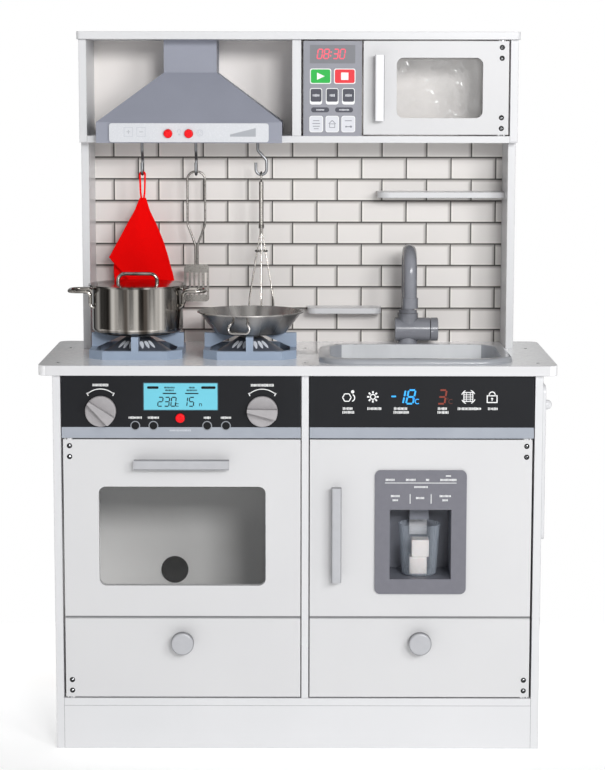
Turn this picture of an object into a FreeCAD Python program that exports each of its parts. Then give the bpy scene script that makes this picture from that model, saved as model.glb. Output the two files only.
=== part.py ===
import FreeCAD, Part
import math
import os

# Toy kitchen: a lower cabinet with an oven and a fridge, a worktop with hob and sink,
# and an upper unit with a tiled back, a cooker hood and a microwave.
# Millimetres. X is to the viewer's right, Y goes from the front to the wall, Z is up.
# The origin is on the floor, at the middle of the whole kitchen's plan.

Vec = FreeCAD.Vector
os.makedirs("parts", exist_ok=True)

# ---- overall sizes ----
width = 720.0             # worktop, side to side
depth = 300.0             # worktop, front to back
worktop_z = 547.0         # floor to the worktop's upper face
reach = 20.0              # knobs and handles stand this far in front of the doors

# ---- boards ----
board = 11.0              # cabinet sides, doors, panels, bottom shelf, top board
worktop_thick = 14.0
divider_thick = 10.0      # lower divider
box_divider_thick = 13.0
box_shelf_thick = 10.0
sheet = 3.0               # hardboard backs
worktop_corner = 15.0     # plan radius of the worktop's corners
side_overhang = 19.5      # worktop past the cabinet sides
front_overhang = 8.0      # worktop past the doors
divider_offset = 10.4     # lower divider's centre, to the right of the middle
box_divider_offset = -2.5
kick_height = 62.0        # floor to the bottom shelf's underside
panel_height = 88.3       # control panels
panel_gap = 1.2           # control panels to the boards beside them

# ---- upper unit ----
tall_setback = 44.5       # worktop's end to the outer face of a tall side
post_setback = 202.0      # worktop's front edge to the posts
box_setback = 176.0       # worktop's front edge to the box
splash_height = 301.7     # worktop to the underside of the box
box_height = 158.3        # underside of the box to the top of the unit
top_overhang = 8.0        # top board past the box, in front
top_side_overhang = 2.5
top_corner = 6.0
notch_corner = 3.0        # where a tall side widens to the box

# ---- doors ----
door_gap = 2.0            # above and below a door
hinge_gap = 3.0           # beside the hinge edge of a lower door
free_gap = 1.5            # beside the free edge of a door
micro_hinge_gap = 2.5
micro_free_gap = 2.5
micro_panel_gap = 3.0     # box divider to the microwave's key panel
pivot_inset = 9.8         # cabinet side to the pivot axis of a lower door
micro_pivot_inset = 12.5
pin_radius = 2.5
pin_clear = 0.05          # pins, shafts and spigots in their holes, on the radius
pin_depth = 8.0
hinge_flange = 1.7
hinge_boss_radius = 6.0
shoe_width = 20.0         # pivot shoe behind the door
shoe_height = 28.0
shoe_thick = 3.0
seat_gap = 0.3            # curved or loose pieces to what carries them

# ---- oven, fridge and microwave fittings ----
oven_window_size = (233.0, 141.0)
oven_window_z = 305.6     # centre
window_corner = 10.0
oven_window_lap = 10.0    # glazing past the opening, behind the door
oven_handle_length = 132.0
oven_handle_z = 409.5
groove_z = 189.7          # groove that marks off the lower part of a door
groove_width = 4.0
groove_depth = 2.0
pull_radius = 16.0
pull_z = 155.5
pull_round = 3.0
fridge_handle_length = 134.0
fridge_handle_z = 310.3
fridge_handle_inset = 37.0   # door's free edge to the middle of the handle
handle_width = 14.0
handle_thick = 10.0
handle_round = 3.0
handle_foot = 9.8         # across each foot
handle_foot_inset = 4.0   # bar's end to the foot, past half the bar's width
micro_window_size = (124.0, 86.0)
micro_window_offset = 5.2
micro_window_lap = 8.0
micro_panel_width = 84.0
micro_handle_length = 93.5
micro_handle_inset = 22.5
glazing = 2.0

# ---- ice and water dispenser ----
bezel_size = (128.0, 176.0)
bezel_z = 312.0
bezel_thick = 2.5
bezel_corner = 8.0
bay_size = (86.0, 99.0)
bay_z = 294.7
bay_depth = 78.0
bay_wall = 2.0
chute_size = 27.0
chute_wall = 1.5
chute_drop = 22.0
hopper_size = (60.0, 52.0, 70.0)
hopper_wall = 2.0
hopper_gap = 1.0          # door board to the hopper
lever_size = (25.0, 3.0, 43.0)
lever_pin_radius = 2.0
lever_barrel_radius = 3.5
lever_setback = 8.0       # bay's back to the lever
lever_drop = 6.0          # bay's roof to the lever's pivot
ear_gap = 0.5             # lever to the ears that carry its pivot
ear_thick = 3.0
ear_half = 4.0
tumbler_height = 72.5
tumbler_rim_radius = 29.7
tumbler_base_radius = 24.5
tumbler_wall = 1.5
tumbler_inset = 6.0       # door's face to the tumbler's rim
tumbler_round = 4.0
cube = 24.5
cube_edge = 1.2
cube_left = (14.0, 11.0)  # tumbler's middle to the left side of the lower and the upper cube

# ---- control panel fittings ----
knob_radius = 21.4
knob_flange = 6.0
knob_edge = 2.0
grip_thin = 4.0           # wedge-shaped grip across a knob, at its two ends
grip_thick = 15.0
grip_inset = 0.4
knob_turn = (40.0, 8.0)   # degrees that the two knobs are set to
knob_x = (-273.7, -49.3)
knob_z = 482.5
shaft_radius = 3.0
shaft_tail = 4.0          # shaft past the back of the panel
button_radius = 6.5
button_travel = 2.0
button_proud = button_travel + 2.0
button_clear = 0.3
button_lip = 1.5
button_edge = 1.2
stove_button_x = -163.3
stove_button_z = 473.0
module_size = (90.0, 50.0, 26.0)
module_wall = 2.0
module_corner = 4.0

# ---- hood ----
hood_side_gap = 14.5      # bay side to the hood's foot
hood_proud = 18.0         # hood's front past the box
hood_band = 19.5          # upright band above the shelf
chimney_width = 76.5
chimney_height = 47.0
chimney_setback = 46.0    # hood's front to the chimney's front
hood_wall = 2.5
fascia_margin = 19.0
fascia_lift = 1.2
fascia_height = 27.0
fascia_thick = 3.0
fascia_corner = 4.0
hood_button_x = (-29.9, -0.3)    # from the hood's middle
hood_button_z = 13.5             # above the underside of the box
hood_button_radius = 6.2

# ---- hob, sink and tap ----
hob_offset = 12.8         # middle of the two grates from the middle of the oven bay
grate_pitch = 161.8
grate_size = 132.0
grate_height = 32.0
grate_setback = 65.0      # worktop's front edge to the grates
grate_wall_height = 12.0
grate_wall = 9.0
grate_corner = 20.0
grate_inner_corner = 15.0
finger_thick = 10.0
finger_tip = 22.0         # burner's middle to a finger's end
finger_nose = 4.0
cap_radius = 52.0
cap_top_radius = 17.0
cap_height = 26.0
cap_foot = 3.0
sink_left_gap = 14.0      # divider to the rim
sink_right_gap = 58.5     # worktop's right edge to the rim
sink_front_gap = 9.0
tap_zone = 95.0           # worktop's back edge to the rim
rim_width = 16.0
rim_height = 8.0
rim_round = 6.0
sink_corner = 50.0
sink_depth = 60.0
sink_wall = 1.6
sink_floor_round = 16.0
cutout_clear = 2.0
tap_offset = -2.0         # tap from the sink's middle
tap_setback = 37.0        # worktop's back edge to the tap
tap_neck = 10.0
tap_foot_radius = 16.0
tap_stem_radius = 12.5
tap_edge = 1.5
tap_body_radius = 17.5
tap_body_left = 19.7
tap_body_right = 33.3
tap_cap_length = 11.0
tap_cap_gap = 0.6
tap_shaft = 8.0
collar_radius = 15.3
collar_height = 7.0
spout_radius = 10.0
spout_foot = 5.0
spout_foot_radius = 13.8
spout_reach = 68.0
spout_top = 152.0         # worktop to the top of the bend
nozzle_radius = 11.8
nozzle_length = 15.0
nozzle_z = 61.0           # worktop to the nozzle's end
outlet_radius = 9.3
outlet_depth = 8.0
peg_radius = 6.0
peg_depth = 10.0

# ---- ledges on the tiled wall ----
ledge_thick = 8.5
long_ledge = (187.5, 50.0, 219.0)     # length, depth, underside above the worktop
long_ledge_corner = 18.0
short_ledge = (110.0, 40.0, 46.0)
short_ledge_corner = 12.0
short_ledge_x = 13.5                  # left end

# ---- cookware and utensils ----
pot_radius = 65.0
pot_height = 67.0
pot_wall = 1.2
pot_foot_radius = 9.0
pot_handle_half = 22.0    # side handle: middle to a leg
pot_handle_out = (0.8, 1.0, 32.0)     # pot's wall to the foot, the rise and the grip
pot_handle_level = (0.56, 0.9)        # share of the pot's height at the foot and the grip
lid_lap = 5.0             # lid past the pot's wall
lid_rise = 5.0
lid_rim = 2.5
lid_flat = 12.0           # lid's edge to the start of its dome
handle_wire = 5.0
lid_handle_half = 28.0
lid_handle_rise = 14.0
lid_handle_bend = 10.0
pan_radius = 76.5
pan_base_radius = 51.0
pan_height = 31.0
pan_lip = (3.0, 1.5)      # width and thickness of the turned-out rim
pan_wall = 0.6
pan_wire = 3.5
pan_mount_drop = 11.0     # rim to the handle's ends
pan_handle_half = (11.0, 19.0)        # at the ends and along the grip
pan_handle_out = (7.0, 9.0)           # from the pan's wall
pan_handle_drop = 14.0
pan_turn = 11.0           # degrees that the pan's handles are turned from front to back
hook_wire = 4.2
hook_bowl = 7.9
hook_drop = 48.2          # box underside to the wire's middle at the bottom of the bowl
hook_thread = 7.0
hook_shift = 5.0          # screw's axis to the middle of the bowl
hook_neck = 13.0          # box underside to the first bend
hook_shoulder = 27.0
hook_bend = 7.0
hook_tip = 17.5           # bottom of the bowl to the free end
hook_x = (-81.0, -1.8, 89.3)     # from the middle of the hob
hook_setback = 242.0      # worktop's front edge to the hooks
whisk_ring = 7.0
whisk_ring_wire = 2.5
whisk_handle_radius = 3.3
whisk_handle_length = 69.0
whisk_wire = 1.7
whisk_radius = 21.0
whisk_clear = 39.15       # worktop to the outermost balloon wire
whisk_neck = 2.2          # wires from the middle where they enter the handle
whisk_nest = 2.6          # each balloon wire ends this much above the one before
whisk_belly = 26.0        # balloon's bottom to its widest level
turner_wire = 3.2
turner_half = 13.0
turner_handle = 108.0
turner_shank = 37.0
turner_taper = 30.0
turner_bend = 12.0
turner_pair = 1.7         # middle to each wire of the shank
turner_blade = (37.0, 55.0, 1.5)
slot_width = 3.6
slot_pitch = 6.6
slot_margin = (10.0, 12.0)    # blade's lower and upper edges to the slots
slot_count = 5
weld_size = (6.6, 7.0)
cloth_strand = 2.2
cloth_thick = 10.0
cloth_loop = 38.0         # hook to the corner the cloth hangs from
cloth_clear = 39.0        # worktop to the cloth's lowest corner
cloth_drawn = 180.0       # height that the outline below is drawn at
# corners of the hanging cloth: across, down, rounding radius
cloth_outline = ((-4, 0, 0), (4, 0, 0), (20, -42, 0), (36, -95, 0), (46, -135, 8), (38, -172, 8),
                 (-2, -180, 12), (-40, -150, 8), (-44, -122, 0), (-50, -89, 5), (-24, -40, 0))

# ---- pieces on the right cabinet side ----
rail_thick = 8.0
rail_length = 180.0
rail_setback = 45.0       # worktop's front edge to the rail board
rail_bottom = 293.0
rail_height = 220.0
rail_corner = 10.0
peg_head_radius = 6.9
peg_stem = 2.9
peg_pitch = 75.0
peg_drop = 28.0
peg_inset = 15.0          # rail board's front edge to the first peg
peg_count = 3

# ---- fasteners and vent ----
screw_head_radius = 4.0
screw_radius = 2.0
screw_length = 35.0
screw_front = 35.0
screw_back = 90.0
dome_radius = 3.7
dome_rise = 2.2
dome_pitch = 15.3
dome_inset = 9.0          # door's edge to the first screw
oven_screw_shift = 2.0    # pivot axis to the screws, towards the door's middle
fridge_screw_shift = -1.0
vent_radius = 18.0
vent_lip_radius = 20.7
vent_lip_thick = 2.0
vent_x = -189.0
vent_z = 195.0

# ---- places worked out from the sizes above ----
middle_y = (reach - front_overhang) / 2
front_y = middle_y - depth / 2
back_y = middle_y + depth / 2
face_y = front_y + front_overhang
inside_y = face_y + board
sheet_y = back_y - sheet
half_width = width / 2
side_out = half_width - side_overhang
side_in = side_out - board
worktop_under = worktop_z - worktop_thick
shelf_top = kick_height + board
divider_left = divider_offset - divider_thick / 2
divider_right = divider_offset + divider_thick / 2
panel_z = worktop_under - panel_height
door_z = (shelf_top + door_gap, panel_z - door_gap)
oven_x = (-side_in + hinge_gap, divider_left - free_gap)
fridge_x = (divider_right + free_gap, side_in - hinge_gap)
oven_middle = sum(oven_x) / 2
fridge_middle = sum(fridge_x) / 2
oven_pivot_x = -side_in + pivot_inset
fridge_pivot_x = side_in - pivot_inset
pivot_y = face_y + board / 2

post_y = front_y + post_setback
box_y = front_y + box_setback
top_y = box_y - top_overhang
tall_half = width / 2 - tall_setback
tall_in = tall_half - board
box_z = worktop_z + splash_height
height = box_z + box_height
top_under = height - board
lid_radius = pot_radius + lid_lap
box_floor = box_z + box_shelf_thick
bay_left = -tall_in
bay_right = box_divider_offset - box_divider_thick / 2
micro_left = box_divider_offset + box_divider_thick / 2
micro_panel_x = (micro_left + micro_panel_gap, micro_left + micro_panel_gap + micro_panel_width)
micro_x = (micro_panel_x[1] + micro_free_gap, tall_in - micro_hinge_gap)
micro_z = (box_floor + door_gap, top_under - door_gap)
micro_middle_z = sum(micro_z) / 2
micro_pivot_x = tall_in - micro_pivot_inset
micro_pivot_y = box_y + board / 2

hob_x = (divider_left - side_in) / 2 + hob_offset
grate_x = (hob_x - grate_pitch / 2, hob_x + grate_pitch / 2)
grate_y = front_y + grate_setback + grate_size / 2
grate_top = worktop_z + grate_height
sink_x = (divider_right + sink_left_gap, half_width - sink_right_gap)
sink_y = (front_y + sink_front_gap, back_y - tap_zone)
sink_middle = sum(sink_x) / 2
tap_x = sink_middle + tap_offset
tap_y = back_y - tap_setback
tap_axis_z = worktop_z + tap_neck + tap_stem_radius
collar_top = tap_axis_z + tap_body_radius + collar_height
hood_middle = (bay_left + bay_right) / 2
hood_half = (bay_right - bay_left) / 2 - hood_side_gap
hood_y = box_y - hood_proud
hook_y = front_y + hook_setback
hook_rest = box_z - hook_drop + hook_wire / 2
bowl_y = hook_y + hook_shift
whisk_x = hob_x + hook_x[2] + hook_shift
turner_x = hob_x + hook_x[1]
cloth_x = hob_x + hook_x[0]
pot_z = grate_top + seat_gap
lid_z = pot_z + pot_height + seat_gap
bay_top = bay_z + bay_size[1] / 2
bay_floor = bay_z - bay_size[1] / 2
bay_back = face_y + bay_depth
tumbler_y = face_y + tumbler_inset + tumbler_rim_radius
tumbler_z = bay_floor + seat_gap
lever_y = bay_back - lever_setback
lever_top = bay_top - lever_drop
chute_y = lever_y - ear_half - chute_size / 2
rail_y = front_y + rail_setback


# ---- shapes ----
def block(x, y, z):
    """Box between two X, two Y and two Z values."""
    return Part.makeBox(x[1] - x[0], y[1] - y[0], z[1] - z[0], Vec(x[0], y[0], z[0]))


def cylinder(base, axis, radius, length):
    return Part.makeCylinder(radius, length, Vec(*base), Vec(*axis))


def cone(base, axis, base_radius, end_radius, length):
    return Part.makeCone(base_radius, end_radius, length, Vec(*base), Vec(*axis))


def rounded_block(x, y, z, radius, along):
    """Box whose four edges along one direction are rounded."""
    solid = block(x, y, z)
    line = Vec(*along)
    edges = []
    for edge in solid.Edges:
        run = edge.Vertexes[1].Point - edge.Vertexes[0].Point
        if abs(run.dot(line)) > 0.99 * run.Length:
            edges.append(edge)
    return solid.makeFillet(radius, edges)


def corner_arc(before, corner, after, radius):
    """Start, middle and end of the tangent arc that rounds a corner."""
    first = (before - corner).normalize()
    second = (after - corner).normalize()
    half = first.getAngle(second) / 2
    tangent = radius / math.tan(half)
    inward = (first + second).normalize()
    dip = radius / math.sin(half) - radius
    return corner + first * tangent, corner + inward * dip, corner + second * tangent


def path(points, radii, closed=False):
    """Straight runs joined by tangent arcs; a radius of 0 leaves a sharp corner."""
    points = [Vec(*point) for point in points]
    count = len(points)
    corners = []
    for i, corner in enumerate(points):
        at_end = not closed and i in (0, count - 1)
        if at_end or radii[i] == 0:
            corners.append((corner, None, corner))
        else:
            corners.append(corner_arc(points[i - 1], corner, points[(i + 1) % count], radii[i]))
    edges = []
    for i, (start, bend, end) in enumerate(corners):
        if bend is not None:
            edges.append(Part.Arc(start, bend, end).toShape())
        if closed or i < count - 1:
            following = corners[(i + 1) % count][0]
            if (following - end).Length > 1e-6:
                edges.append(Part.makeLine(end, following))
    return Part.Wire(edges)


def plate(points, radii, thickness):
    """Flat outline with rounded corners, thickened along a vector."""
    return Part.Face(path(points, radii, closed=True)).extrude(Vec(*thickness))


def turned(profile, radii, centre, axis=(0, 0, 1)):
    """Body of revolution: profile is a list of (radius, height) about a vertical axis."""
    x, y = centre
    points = [(x + r, y, z) for r, z in profile]
    face = Part.Face(path(points, radii, closed=True))
    return face.revolve(Vec(x, y, 0), Vec(*axis), 360)


def round_front(solid, radius, y):
    """Round the edges that lie wholly in front of a Y value."""
    return solid.makeFillet(radius, [edge for edge in solid.Edges if edge.BoundBox.YMax < y])


def round_below(solid, radius, z):
    return solid.makeFillet(radius, [edge for edge in solid.Edges if edge.BoundBox.ZMax < z])


def round_above(solid, radius, z):
    return solid.makeFillet(radius, [edge for edge in solid.Edges if edge.BoundBox.ZMin > z])


def bent_bar(points, radii, diameter):
    """Round bar along an open path."""
    spine = path(points, radii)
    start = Vec(*points[0])
    ring = Part.makeCircle(diameter / 2, start, Vec(*points[1]) - start)
    return spine.makePipeShell([Part.Wire(ring)], True, False)


def save(name, *solids):
    shape = solids[0] if len(solids) == 1 else Part.makeCompound(list(solids))
    shape.exportStep("parts/" + name + ".step")


# ---- fasteners, used by several pieces ----
def worktop_screw(x, y, clearance):
    """Countersunk screw from the worktop down into a board's edge; also cuts its hole."""
    head = screw_head_radius + clearance
    shank = screw_radius + clearance
    top = cone((x, y, worktop_z), (0, 0, -1), head, shank, head - shank)
    return top.fuse(cylinder((x, y, worktop_z), (0, 0, -1), shank, screw_length))


def worktop_screw_places():
    side_middle = side_in + board / 2
    places = []
    for x in (-side_middle, divider_offset, side_middle):
        for y in (front_y + screw_front, back_y - screw_back):
            places.append((x, y))
    return places


def cut_worktop_screws(solid):
    for x, y in worktop_screw_places():
        solid = solid.cut(worktop_screw(x, y, pin_clear))
    return solid


def dome_screw(x, y, z, length):
    """Dome-headed screw whose head rests on a front face at y."""
    sphere_radius = (dome_radius ** 2 + dome_rise ** 2) / (2 * dome_rise)
    ball = Part.makeSphere(sphere_radius, Vec(x, y + sphere_radius - dome_rise, z))
    cap = ball.common(cylinder((x, y, z), (0, -1, 0), 2 * sphere_radius, 2 * dome_rise))
    return cap.fuse(cylinder((x, y, z), (0, 1, 0), screw_radius, length))


# ---- lower cabinet ----
def lower_cabinet():
    carcass_y = (face_y, sheet_y)
    for name, low, high in (("side_panel_left", -side_out, -side_in),
                            ("side_panel_right", side_in, side_out)):
        save(name, cut_worktop_screws(block((low, high), carcass_y, (0, worktop_under))))
    divider = block((divider_left, divider_right), carcass_y, (shelf_top, worktop_under))
    save("centre_divider", cut_worktop_screws(divider))

    shelf = block((-side_in, side_in), carcass_y, (kick_height, shelf_top))
    for x in (oven_pivot_x, fridge_pivot_x):
        shelf = shelf.cut(pivot_hole((x, pivot_y, shelf_top), -1))
    save("bottom_shelf", shelf)
    save("kickboard", block((-side_in, side_in), (face_y, inside_y), (0, kick_height)))

    back = block((-side_out, side_out), (sheet_y, back_y), (0, worktop_under))
    vent = (vent_x, sheet_y, vent_z)
    back = back.cut(cylinder(vent, (0, 1, 0), vent_radius + pin_clear, sheet))
    save("lower_back_panel", back)
    lip = cylinder(vent, (0, -1, 0), vent_lip_radius, vent_lip_thick)
    save("vent_cap", lip.fuse(cylinder(vent, (0, 1, 0), vent_radius, sheet)))


def pivot_hole(place, up):
    """Blind hole for a hinge pin, upward (1) or downward (-1) from a place."""
    return cylinder(place, (0, 0, up), pin_radius + pin_clear, pin_depth + seat_gap)


def worktop():
    slab = rounded_block((-half_width, half_width), (front_y, back_y), (worktop_under, worktop_z),
                         worktop_corner, (0, 0, 1))
    inset = rim_width - sink_wall - cutout_clear
    save("worktop", cut_worktop_screws(slab.cut(sink_block(inset, worktop_under, worktop_z))))
    save("worktop_screws", *[worktop_screw(x, y, 0) for x, y in worktop_screw_places()])


# ---- control panels, knobs and the oven's sound module ----
def control_panels():
    z = (panel_z, worktop_under)
    y = (face_y, inside_y)
    oven = block((-side_in + panel_gap, divider_left - panel_gap), y, z)
    oven = oven.cut(pivot_hole((oven_pivot_x, pivot_y, panel_z), 1))
    for x in knob_x:
        oven = oven.cut(cylinder((x, face_y, knob_z), (0, 1, 0), shaft_radius + pin_clear, board))
    button = (stove_button_x, face_y, stove_button_z)
    oven = oven.cut(cylinder(button, (0, 1, 0), button_radius + button_clear, board))
    save("oven_control_panel", oven)

    fridge = block((divider_right + panel_gap, side_in - panel_gap), y, z)
    save("fridge_control_panel", fridge.cut(pivot_hole((fridge_pivot_x, pivot_y, panel_z), 1)))


def oven_knob(name, x, turn):
    """Round knob with a wedge-shaped grip across its face and a shaft through the panel."""
    rear = face_y - seat_gap
    front = rear - knob_flange
    flange = cylinder((x, rear, knob_z), (0, -1, 0), knob_radius, knob_flange)
    flange = round_front(flange, knob_edge, face_y - knob_flange)
    tall = reach - seat_gap - knob_flange
    outline = [(-knob_radius, 0, -grip_thin / 2), (knob_radius, 0, -grip_thick / 2),
               (knob_radius, 0, grip_thick / 2), (-knob_radius, 0, grip_thin / 2)]
    grip = plate(outline, [0] * 4, (0, -tall, 0))
    grip.rotate(Vec(0, 0, 0), Vec(0, 1, 0), turn)
    grip.translate(Vec(x, front, knob_z))
    grip = grip.common(cylinder((x, front, knob_z), (0, -1, 0), knob_radius - grip_inset, tall))
    shaft = cylinder((x, rear, knob_z), (0, 1, 0), shaft_radius, board + shaft_tail)
    save(name, flange.fuse([grip, shaft]))


def push_button(name, x, y, z, radius, wall):
    """Button through a wall whose front is at y, with a lip behind the wall."""
    cap = cylinder((x, y - button_proud, z), (0, 1, 0), radius, button_proud + wall + seat_gap)
    cap = round_front(cap, button_edge, y)
    lip = cylinder((x, y + wall + seat_gap, z), (0, 1, 0), radius + button_lip, button_lip)
    save(name, cap.fuse(lip))


def panel_fittings():
    for name, x, turn in zip(("oven_knob_left", "oven_knob_right"), knob_x, knob_turn):
        oven_knob(name, x, turn)
    push_button("stove_button", stove_button_x, face_y, stove_button_z, button_radius, board)
    across, tall, deep = module_size
    x = (stove_button_x - across / 2, stove_button_x + across / 2)
    z = (stove_button_z - tall / 2, stove_button_z + tall / 2)
    case = rounded_block(x, (inside_y, inside_y + deep), z, module_corner, (0, 1, 0))
    inner_x = (x[0] + module_wall, x[1] - module_wall)
    inner_z = (z[0] + module_wall, z[1] - module_wall)
    hollow = rounded_block(inner_x, (inside_y, inside_y + deep - module_wall), inner_z,
                           module_corner - module_wall, (0, 1, 0))
    save("sound_module", case.cut(hollow))


# ---- doors ----
def around(middle, size):
    """Low and high ends of a size laid out about a middle."""
    return (middle - size / 2, middle + size / 2)


def window_hole(x, z, size, front):
    return rounded_block(around(x, size[0]), (front, front + board), around(z, size[1]),
                         window_corner, (0, 1, 0))


def glazing_sheet(name, x, z, size, front, lap):
    back = front + board
    save(name, block(around(x, size[0] + 2 * lap), (back, back + glazing), around(z, size[1] + 2 * lap)))


def groove(door_x):
    """Shallow cut across a door that marks off its lower part."""
    return block(door_x, (face_y, face_y + groove_depth), around(groove_z, groove_width))


def bar_handle(name, x, z, length, front, upright):
    """Flat bar on two feet, drawn lying down and then turned upright if asked."""
    bar_y = (front - reach, front - reach + handle_thick)
    bar = rounded_block(around(x, length), bar_y, around(z, handle_width), handle_round, (1, 0, 0))
    spread = length - handle_width - 2 * handle_foot_inset
    for foot_x in around(x, spread):
        foot = block(around(foot_x, handle_foot), (bar_y[1], front), around(z, handle_foot))
        bar = bar.fuse(foot)
    bar = bar.removeSplitter()
    if upright:
        bar.rotate(Vec(x, 0, z), Vec(0, 1, 0), 90)
    save(name, bar)


def pull_knob(name, x):
    neck = reach / 2
    stem = cylinder((x, face_y, pull_z), (0, -1, 0), pull_radius * 0.55, reach - neck + pull_round)
    head = cylinder((x, face_y - neck, pull_z), (0, -1, 0), pull_radius, reach - neck)
    save(name, stem.fuse(round_front(head, pull_round, face_y - neck - 1)))


def hinge_screw_places(x, z):
    places = []
    for level, up in ((z[0], -1), (z[1], 1)):
        for step in (0, 1):
            places.append((x, level - up * (dome_inset + step * dome_pitch)))
    return places


def hinge_screw_holes(solid, front, x, z, length):
    for screw_x, screw_z in hinge_screw_places(x, z):
        hole = cylinder((screw_x, front, screw_z), (0, 1, 0), screw_radius + pin_clear, length)
        solid = solid.cut(hole)
    return solid


def pivot_hinges(name, pivot_x, inward, front, z, screw_x):
    """Two pivot shoes behind a door's corners, their pins, and two dome screws in each."""
    axis_y = front + board / 2
    back = front + board
    outer = pivot_x - inward * hinge_boss_radius
    shoe_x = tuple(sorted((outer, outer + inward * shoe_width)))
    solids = []
    for level, up in ((z[0], -1), (z[1], 1)):
        flange_z = tuple(sorted((level, level + up * hinge_flange)))
        boss = cylinder((pivot_x, axis_y, flange_z[0]), (0, 0, 1), hinge_boss_radius, hinge_flange)
        tongue = block(around(pivot_x, 2 * hinge_boss_radius), (axis_y, back + shoe_thick), flange_z)
        pin = cylinder((pivot_x, axis_y, level), (0, 0, up), pin_radius, door_gap + pin_depth)
        shoe_z = tuple(sorted((level, level - up * shoe_height)))
        shoe = boss.fuse([tongue, pin, block(shoe_x, (back, back + shoe_thick), shoe_z)]).removeSplitter()
        solids.append(hinge_screw_holes(shoe, back, screw_x, z, shoe_thick))
    for x, screw_z in hinge_screw_places(screw_x, z):
        solids.append(dome_screw(x, front, screw_z, board + shoe_thick))
    save(name, *solids)


def oven_door():
    door = block(oven_x, (face_y, inside_y), door_z)
    door = door.cut(window_hole(oven_middle, oven_window_z, oven_window_size, face_y))
    door = door.cut(groove(oven_x))
    screw_x = oven_pivot_x + oven_screw_shift
    save("oven_door", hinge_screw_holes(door, face_y, screw_x, door_z, board))
    glazing_sheet("oven_window", oven_middle, oven_window_z, oven_window_size, face_y, oven_window_lap)
    bar_handle("oven_handle", oven_middle, oven_handle_z, oven_handle_length, face_y, False)
    pull_knob("oven_pull_knob", oven_middle)
    pivot_hinges("oven_door_hinges", oven_pivot_x, 1, face_y, door_z, screw_x)


def fridge_door():
    door = block(fridge_x, (face_y, inside_y), door_z)
    tub_x = around(fridge_middle, bay_size[0] + 2 * bay_wall)
    door = door.cut(block(tub_x, (face_y, inside_y), around(bay_z, bay_size[1] + 2 * bay_wall)))
    door = door.cut(groove(fridge_x))
    screw_x = fridge_pivot_x + fridge_screw_shift
    save("fridge_door", hinge_screw_holes(door, face_y, screw_x, door_z, board))
    bar_handle("fridge_handle", fridge_x[0] + fridge_handle_inset, fridge_handle_z,
               fridge_handle_length, face_y, True)
    pull_knob("fridge_pull_knob", fridge_middle)
    pivot_hinges("fridge_door_hinges", fridge_pivot_x, -1, face_y, door_z, screw_x)


def dispenser_housing():
    """Moulded bezel and bay in the fridge door, with two ears for the lever's pivot."""
    x = fridge_middle
    bezel = rounded_block(around(x, bezel_size[0]), (face_y - bezel_thick, face_y),
                          around(bezel_z, bezel_size[1]), bezel_corner, (0, 1, 0))
    tub = block(around(x, bay_size[0] + 2 * bay_wall), (face_y, bay_back + bay_wall),
                around(bay_z, bay_size[1] + 2 * bay_wall))
    hollow = block(around(x, bay_size[0]), (face_y - bezel_thick, bay_back), (bay_floor, bay_top))
    port = block(around(x, chute_size), around(chute_y, chute_size), (bay_top, bay_top + bay_wall))
    housing = bezel.fuse(tub).cut(hollow.fuse(port))
    near = lever_size[0] / 2 + ear_gap
    for low in (x - near - ear_thick, x + near):
        ear = block((low, low + ear_thick), around(lever_y, 2 * ear_half), (lever_top - ear_half, bay_top))
        bore = cylinder((low, lever_y, lever_top), (1, 0, 0), lever_pin_radius + pin_clear, ear_thick)
        housing = housing.fuse(ear.cut(bore))
    save("dispenser_housing", housing.removeSplitter())


def dispenser_fittings():
    """Hopper with its chute on the bay's roof, the push lever, the tumbler and two ice cubes."""
    x = fridge_middle
    across, deep, tall = hopper_size
    base = bay_top + bay_wall
    front = inside_y + hopper_gap
    hopper = block(around(x, across), (front, front + deep), (base, base + tall))
    inside = block(around(x, across - 2 * hopper_wall), (front + hopper_wall, front + deep - hopper_wall),
                   (base + hopper_wall, base + tall))
    tube = block(around(x, chute_size), around(chute_y, chute_size), (bay_top - chute_drop, base))
    bore = chute_size - 2 * chute_wall
    hole = block(around(x, bore), around(chute_y, bore), (bay_top - chute_drop, base + hopper_wall))
    save("ice_hopper", hopper.cut(inside).fuse(tube).cut(hole).removeSplitter())

    wide, thick, long = lever_size
    paddle = block(around(x, wide), around(lever_y, thick), (lever_top - long, lever_top))
    barrel = cylinder((x - wide / 2, lever_y, lever_top), (1, 0, 0), lever_barrel_radius, wide)
    pin = wide + 2 * (ear_gap + ear_thick)
    pivot = cylinder((x - pin / 2, lever_y, lever_top), (1, 0, 0), lever_pin_radius, pin)
    save("dispenser_lever", paddle.fuse([barrel, pivot]))

    wall = tumbler_wall
    rim = tumbler_z + tumbler_height
    low = tumbler_z + wall
    profile = [(0, tumbler_z), (tumbler_base_radius, tumbler_z), (tumbler_rim_radius, rim),
               (tumbler_rim_radius - wall, rim), (tumbler_base_radius - wall, low), (0, low)]
    save("tumbler", turned(profile, [0, tumbler_round, 0, 0, tumbler_round - wall, 0], (x, tumbler_y)))
    cubes = []
    for level, left in enumerate(cube_left):
        start = low + level * cube
        ice = block((x - left, x - left + cube), around(tumbler_y, cube), (start, start + cube))
        cubes.append(ice.makeFillet(cube_edge, ice.Edges))
    save("ice_cubes", *cubes)


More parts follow.
